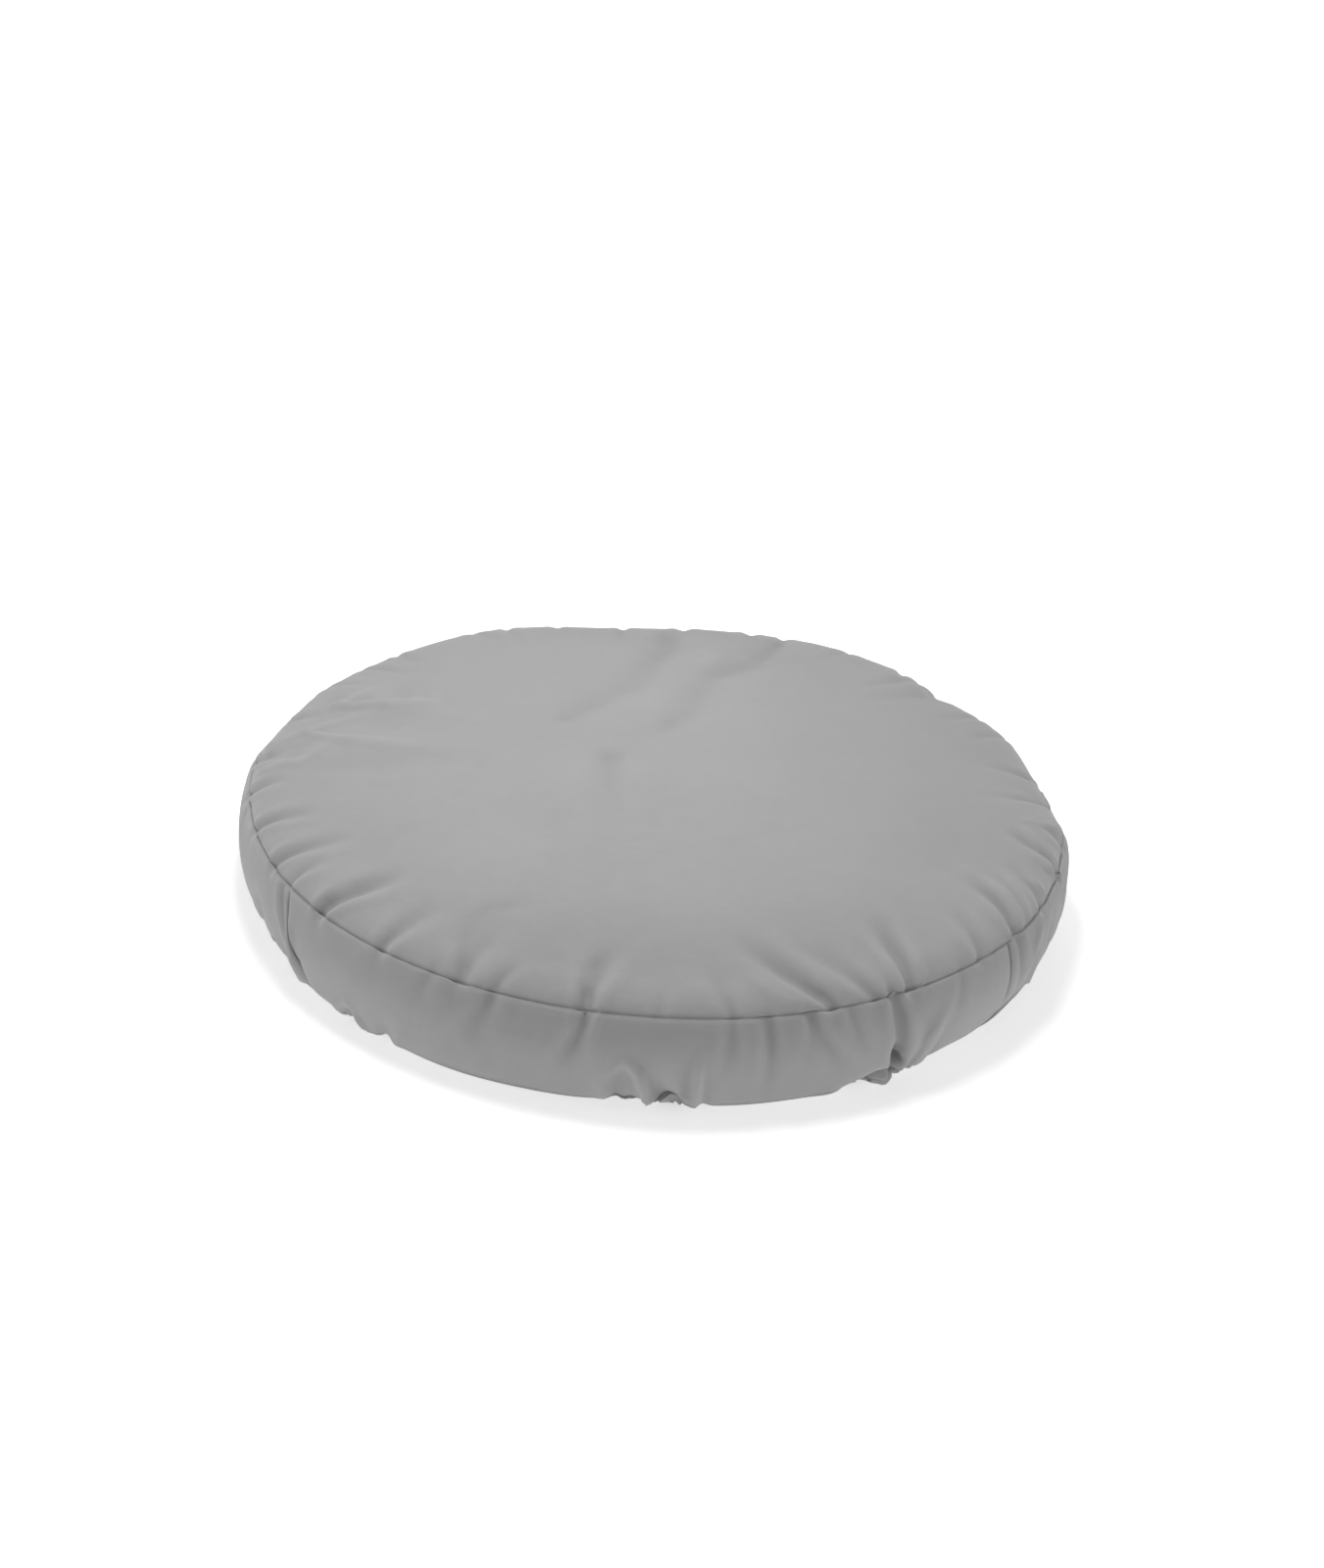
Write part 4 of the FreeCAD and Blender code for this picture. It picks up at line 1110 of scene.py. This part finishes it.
def fibre(name, colour):
    """Loose white polyester fibre."""
    finish = Finish(name)
    place = finish.place()
    tufts = finish.noise(place, 160, 6.0, 0.7)
    finish.set(Base_Color=finish.tinted(colour, finish.vary(tufts, 0.86, 1.05)))
    finish.set(Roughness=0.95, Sheen_Weight=0.4)
    finish.bumped((tufts, 0.002))
    return finish.material


GREY = (0.335, 0.335, 0.338)
cover_grey = napped_cloth("cover_cloth", GREY, 0.0007)
liner_white = plain_cloth("liner_cloth", (0.78, 0.78, 0.76), 0.0011)
fibre_white = fibre("fibre", (0.88, 0.88, 0.87))
tape_grey = plain_cloth("zip_tape", (0.2, 0.2, 0.2), 0.0012)
coil_grey = nylon("zip_coil", (0.16, 0.16, 0.16))
metal_grey = painted_metal("zip_metal", (0.18, 0.18, 0.18))
thread_grey = twisted_thread("thread", (0.28, 0.28, 0.28))

# ------------------------------------------------------------------ the cover and what it holds

cover = Cover()
cloth = Cloth(cover)
places = simulate(cloth)
fine = Fine(cover, cloth, places)
for piece, node in enumerate(PIECES):
    add_piece(f"{node}_cloth", sewn_mesh(piece, fine), node, cover_grey)


LINER_DEPTH, LINER_CLOTH, FILL_DEPTH = 0.0066, 0.0006, 0.0080  # below the cover, thickness, below it
BRIDGINGS = 14
WIDENED = 1.7  # how much wider the creases are on the inside


def under_cover(cover, cloth, places):
    """How far the cover lies from its mean shape once its sharp folds are bridged from inside."""
    lift = np.einsum("ij,ij->i", places - cloth.mean, cloth.normal)
    lift += cloth.free * np.minimum(creased(cover.azimuth, cover.along, cloth.mean[:, :2], WIDENED), 0)
    for _ in range(BRIDGINGS):
        lift = np.minimum(lift, np.bincount(cloth.ends, lift[cloth.others], len(lift)) / cloth.degree)
    return lift


LINER_PIECES = {
    "liner_top": (TOP,),
    "liner_side": (FRONT, LEFT, RIGHT, ZIP_LOWER, ZIP_UPPER, OPENING),
    "liner_bottom": (BOTTOM,),
}
bridged = under_cover(cover, cloth, places)


def inner_shape(depth):
    """The cover's shape this far inside it, with its folds bridged."""
    return cloth.mean + cloth.normal * (bridged - depth)[:, None]


def closed_cloth(name, faces, outer, inner):
    """Cloth between two surfaces with the same faces, closed along its border."""
    used = sorted({v for face in faces for v in face})
    index = {v: k for k, v in enumerate(used)}
    made = [[index[v] for v in face] for face in faces]
    borders = {}
    for face in made:
        for k, v in enumerate(face):
            edge = (v, face[(k + 1) % len(face)])
            if edge[::-1] in borders:
                del borders[edge[::-1]]
            else:
                borders[edge] = True
    count = len(used)
    solid = made + [[v + count for v in face[::-1]] for face in made]
    solid += [[b, a, a + count, b + count] for a, b in borders]
    return mesh_of(name, np.concatenate([outer[used], inner[used]]), solid)


liner_outer, liner_inner = inner_shape(LINER_DEPTH), inner_shape(LINER_DEPTH + LINER_CLOTH)
for node, kinds in LINER_PIECES.items():
    faces = [face for face, piece in zip(cover.faces, cover.piece) if piece in kinds]
    mesh = closed_cloth(node, faces, liner_outer, liner_inner)
    add_piece(f"{node}_cloth", mesh, node, liner_white)
fill_mesh = mesh_of("fibre_fill", inner_shape(FILL_DEPTH), cover.faces)
fill = add_piece("fibre_fill_wadding", fill_mesh, "fibre_fill", fibre_white)

# ------------------------------------------------------------------ sewing

STITCH, THREAD = 0.0032, 0.00022  # length of a topstitch, and the seam thread's radius
TOPSTITCH = 0.00028  # the topstitching's radius
THREAD_SIDES = 5
STITCH_DEPTHS = (0.0022, 0.0040)  # below the cover, where the seam's thread goes in and out
THREAD_END = 0.006  # from an upright seam's thread to the seams it runs into
THREAD_GAP = 0.020  # from it to the zip's middle
STITCH_FROM_ZIP = 0.0095  # from the zip's middle to each row of topstitching
STITCH_GAP = 0.12  # share of a topstitch's length that is bare at each end


def seam_thread(points, normals, closed):
    """Lockstitch through the seam allowance: the thread goes in and out between two depths."""
    depth = np.where(np.arange(len(points)) % 2 == 0, *STITCH_DEPTHS)
    return tube(points - normals * depth[:, None], normals, THREAD, THREAD_SIDES, closed)


def on_seam(fine, chosen, order):
    """The vertices that lie on a seam, in order along it, with their normals."""
    index = np.where(chosen)[0]
    index = index[np.argsort(order[index])]
    return fine.place[index], fine.normal[index]


def ring_seam(fine, place):
    """The thread of a seam all round the cushion."""
    points, normals = on_seam(fine, np.abs(fine.along - place) < 1e-5, fine.azimuth)
    return seam_thread(points, normals, True)


def upright_seam(fine, azimuth):
    """The vertices and normals along an upright seam, short of the seams it runs into."""
    off = np.abs(turned(fine.azimuth, seam_azimuth(azimuth, fine.along)))
    inside = (fine.along < TOP_SEAM - THREAD_END) & (fine.along > BOTTOM_SEAM + THREAD_END)
    return on_seam(fine, inside & (off < 0.02), fine.along)


def split_at_zip(azimuth, points, normals):
    """An upright seam's threads, which at the zip's ends stop each side of the opening."""
    if azimuth not in ZIP_AZIMUTHS:
        return [seam_thread(points, normals, False)]
    runs = [np.where(side * (points[:, 2] - ZIP_Z) > THREAD_GAP)[0] for side in (-1, 1)]
    return [seam_thread(points[run], normals[run], False) for run in runs]


def liner_thread(place):
    """The thread round an edge of the liner's side."""
    index = np.where(np.abs(cover.along - place) < 1e-9)[0]
    outward = cloth.normal[index]
    return tube(liner_outer[index] + outward * THREAD, outward, THREAD, THREAD_SIDES, True)


def top_stitches():
    """Rows of stitches over the two strips, which hold the tapes: each lies on the cloth and dips into it
    at both ends."""
    low, high = ZIP_AZIMUTHS[0] + 1, ZIP_AZIMUTHS[1] - 1
    count = int(math.radians(high - low) * WIDEST / STITCH)
    dips = np.array([-0.0007, 0.00012, 0.0002, 0.00012, -0.0007])
    made = []
    for side in (-1, 1):
        z = ZIP_Z + side * STITCH_FROM_ZIP
        radius = band_radius(z)
        for k in range(count):
            start = low + (high - low) * (k + STITCH_GAP) / count
            end = low + (high - low) * (k + 1 - STITCH_GAP) / count
            azimuths = np.linspace(start, end, len(dips))
            outward = round_points(azimuths, 1.0, 0.0)
            line = round_points(azimuths, radius + dips, z)
            made.append(tube(line, outward, TOPSTITCH, THREAD_SIDES, False))
    return made


upright_threads = []
for azimuth in SEAM_AZIMUTHS:
    upright_threads += split_at_zip(azimuth, *upright_seam(fine, azimuth))
THREADS = (
    ("top_seam_stitches", "top_seam_thread", [ring_seam(fine, TOP_SEAM)]),
    ("bottom_seam_stitches", "bottom_seam_thread", [ring_seam(fine, BOTTOM_SEAM)]),
    ("side_seam_stitches", "side_seam_threads", upright_threads),
    ("liner_seam_stitches", "liner_seam_threads", [liner_thread(TOP_SEAM), liner_thread(BOTTOM_SEAM)]),
    ("zip_top_stitches", "zip_stitching", top_stitches()),
)
for name, node, tubes in THREADS:
    add_piece(name, gathered(node, tubes), node, thread_grey)

# ------------------------------------------------------------------ the zip

COIL_PITCH, COIL_WIRE = 0.0020, 0.00033  # from turn to turn, and the wire's radius
COIL_DEPTH, COIL_HALF_DEPTH = 0.0014, 0.00066  # middle of the coil behind the band's widest radius
COIL_MIDDLE, COIL_REACH = 0.00135, 0.0015  # middle of a row above or below the zip's, and half its height
PER_TURN, WIRE_SIDES = 12, 6
COIL_NEAR = 0.0004  # the coil's outer face, behind the band's widest radius
CHAIN_HALF = math.degrees(math.asin(COIL_HIGH.x / (WIDEST - COIL_NEAR)))


def coil(side):
    """One row of the coil: a flattened helix whose heads pass between those of the other row."""
    turns = int(math.radians(2 * CHAIN_HALF) * (WIDEST - COIL_DEPTH) / COIL_PITCH)
    steps = np.arange(turns * PER_TURN + 1) / PER_TURN
    lead = 0.5 if side > 0 else 0.0
    azimuth = ZIP_MIDDLE + CHAIN_HALF * (2 * (steps + lead) / (turns + 0.5) - 1)
    phase = 2 * math.pi * steps
    depth = COIL_DEPTH + COIL_HALF_DEPTH * np.sin(phase)
    z = ZIP_Z + side * (COIL_MIDDLE - COIL_REACH * np.cos(phase))
    outward = round_points(azimuth, 1.0, 0.0)
    return tube(round_points(azimuth, WIDEST - depth, z), outward, COIL_WIRE, WIRE_SIDES, False)


TAPE_THICK, RIB, TAPE_SUNK = 0.0006, 0.00006, 0.0001  # thickness, half a rib's height, and face to ribs
TAPE_COLUMNS, TAPE_ROWS = 1400, 33


def tape(node):
    """A woven tape behind one of the strips, ribbed across its width."""
    low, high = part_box(node)
    near, far = sorted((low.z, high.z), key=lambda z: abs(z - ZIP_Z))
    half = math.degrees(math.asin(high.x / math.hypot(high.x, low.y)))
    outer = max(high.y, math.hypot(high.x, low.y))
    columns = np.linspace(ZIP_MIDDLE - half, ZIP_MIDDLE + half, TAPE_COLUMNS)
    rows = np.linspace(near, far, TAPE_ROWS)
    bulge = band_radius(rows) - band_radius(ZIP_Z)
    ribs = RIB * np.cos(np.arange(len(rows)) * math.pi)
    front = outer + bulge + ribs - TAPE_SUNK
    back = outer + bulge - TAPE_THICK
    a = np.radians(columns)
    sheets = []
    for radius in (front, back):
        x, y = np.outer(np.cos(a), radius), np.outer(np.sin(a), radius)
        sheets.append(np.stack([x, y, np.broadcast_to(rows, x.shape)], axis=-1).reshape(-1, 3))
    across = len(rows)
    start = (np.arange(len(columns) - 1)[:, None] * across + np.arange(across - 1)).ravel()
    quads = np.stack([start, start + across, start + across + 1, start + 1], axis=1)
    if far < near:
        quads = quads[:, ::-1]
    return closed_cloth(node, quads.tolist(), *sheets)


METAL_ROUND = 0.00015

for side, name in ((1, "upper"), (-1, "lower")):
    row = gathered(f"zip_coil_{name}", [coil(side)])
    add_piece(f"zip_coil_{name}_teeth", row, f"zip_coil_{name}", coil_grey)
    add_piece(f"zip_tape_{name}_web", tape(f"zip_tape_{name}"), f"zip_tape_{name}", tape_grey)

for node in ("zip_top_stops", "zip_bottom_stop", "slider_body", "pull_tab"):
    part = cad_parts[node]
    part.data.materials.clear()
    part.data.materials.append(metal_grey)
    rounded = part.modifiers.new("rounded", "BEVEL")
    rounded.width = METAL_ROUND
    rounded.segments = 2
    rounded.angle_limit = math.radians(35)

# ------------------------------------------------------------------ floor and light

FLOOR_REACH = 20.0
FLOOR_GLOW = (0.53, 0.85)  # by the cushion, and far off, where the lights don't reach
GLOW_RISE = (1.5, 4.0)  # distances between which it goes from one to the other


def add_floor():
    mesh = bpy.data.meshes.new("floor")
    corners = [(x * FLOOR_REACH, y * FLOOR_REACH, 0) for x, y in ((-1, -1), (1, -1), (1, 1), (-1, 1))]
    mesh.from_pydata(corners, [], [(0, 1, 2, 3)])
    finish = Finish("floor")
    finish.set(Base_Color=(0.9, 0.9, 0.9, 1), Roughness=0.9, Specular_IOR_Level=0.1)
    place = finish.place()
    away = finish.node("ShaderNodeVectorMath", {0: place}, operation="LENGTH").outputs["Value"]
    finish.set(Emission_Color=(1, 1, 1, 1), Emission_Strength=finish.range(away, *GLOW_RISE, *FLOOR_GLOW))
    mesh.materials.append(finish.material)
    link("floor", mesh)


def add_light(name, place, aim, size, power):
    data = bpy.data.lights.new(name, "AREA")
    data.shape = "DISK"
    data.size = size
    data.energy = power
    light = bpy.data.objects.new(name, data)
    bpy.context.scene.collection.objects.link(light)
    light.location = place
    light.rotation_mode = "QUATERNION"
    light.rotation_quaternion = (Vector(place) - Vector(aim)).to_track_quat("Z", "Y")


def add_sky(level, overhead):
    """A pale studio all round, one strength level with the floor and another overhead."""
    world = bpy.data.worlds.new("studio")
    world.use_nodes = True
    nodes, links = world.node_tree.nodes, world.node_tree.links
    direction = nodes.new("ShaderNodeSeparateXYZ")
    links.new(nodes.new("ShaderNodeTexCoord").outputs["Generated"], direction.inputs[0])
    strength = nodes.new("ShaderNodeMapRange")
    heights = (("From Min", 0.0), ("From Max", 0.3), ("To Min", level), ("To Max", overhead))
    for key, value in heights:
        strength.inputs[key].default_value = value
    links.new(direction.outputs["Z"], strength.inputs["Value"])
    sky = nodes["Background"]
    sky.inputs["Color"].default_value = (1, 1, 1, 1)
    links.new(strength.outputs["Result"], sky.inputs["Strength"])
    bpy.context.scene.world = world


add_floor()
add_light("key", (-0.15, 0.03, 1.34), (-0.1, 0.1, 0.1), 0.6, 13.2)
add_light("left", (-3.2, -0.6, 1.0), (0, 0, 0.05), 1.5, 14)
add_light("right", (3.2, -0.6, 1.0), (0, 0, 0.05), 1.5, 13)
add_light("backdrop", (0, 7.5, 4.0), (0, 7.5, 0), 6.0, 250)
add_sky(1.0, 0.24)
bpy.context.scene.view_settings.view_transform = "Standard"
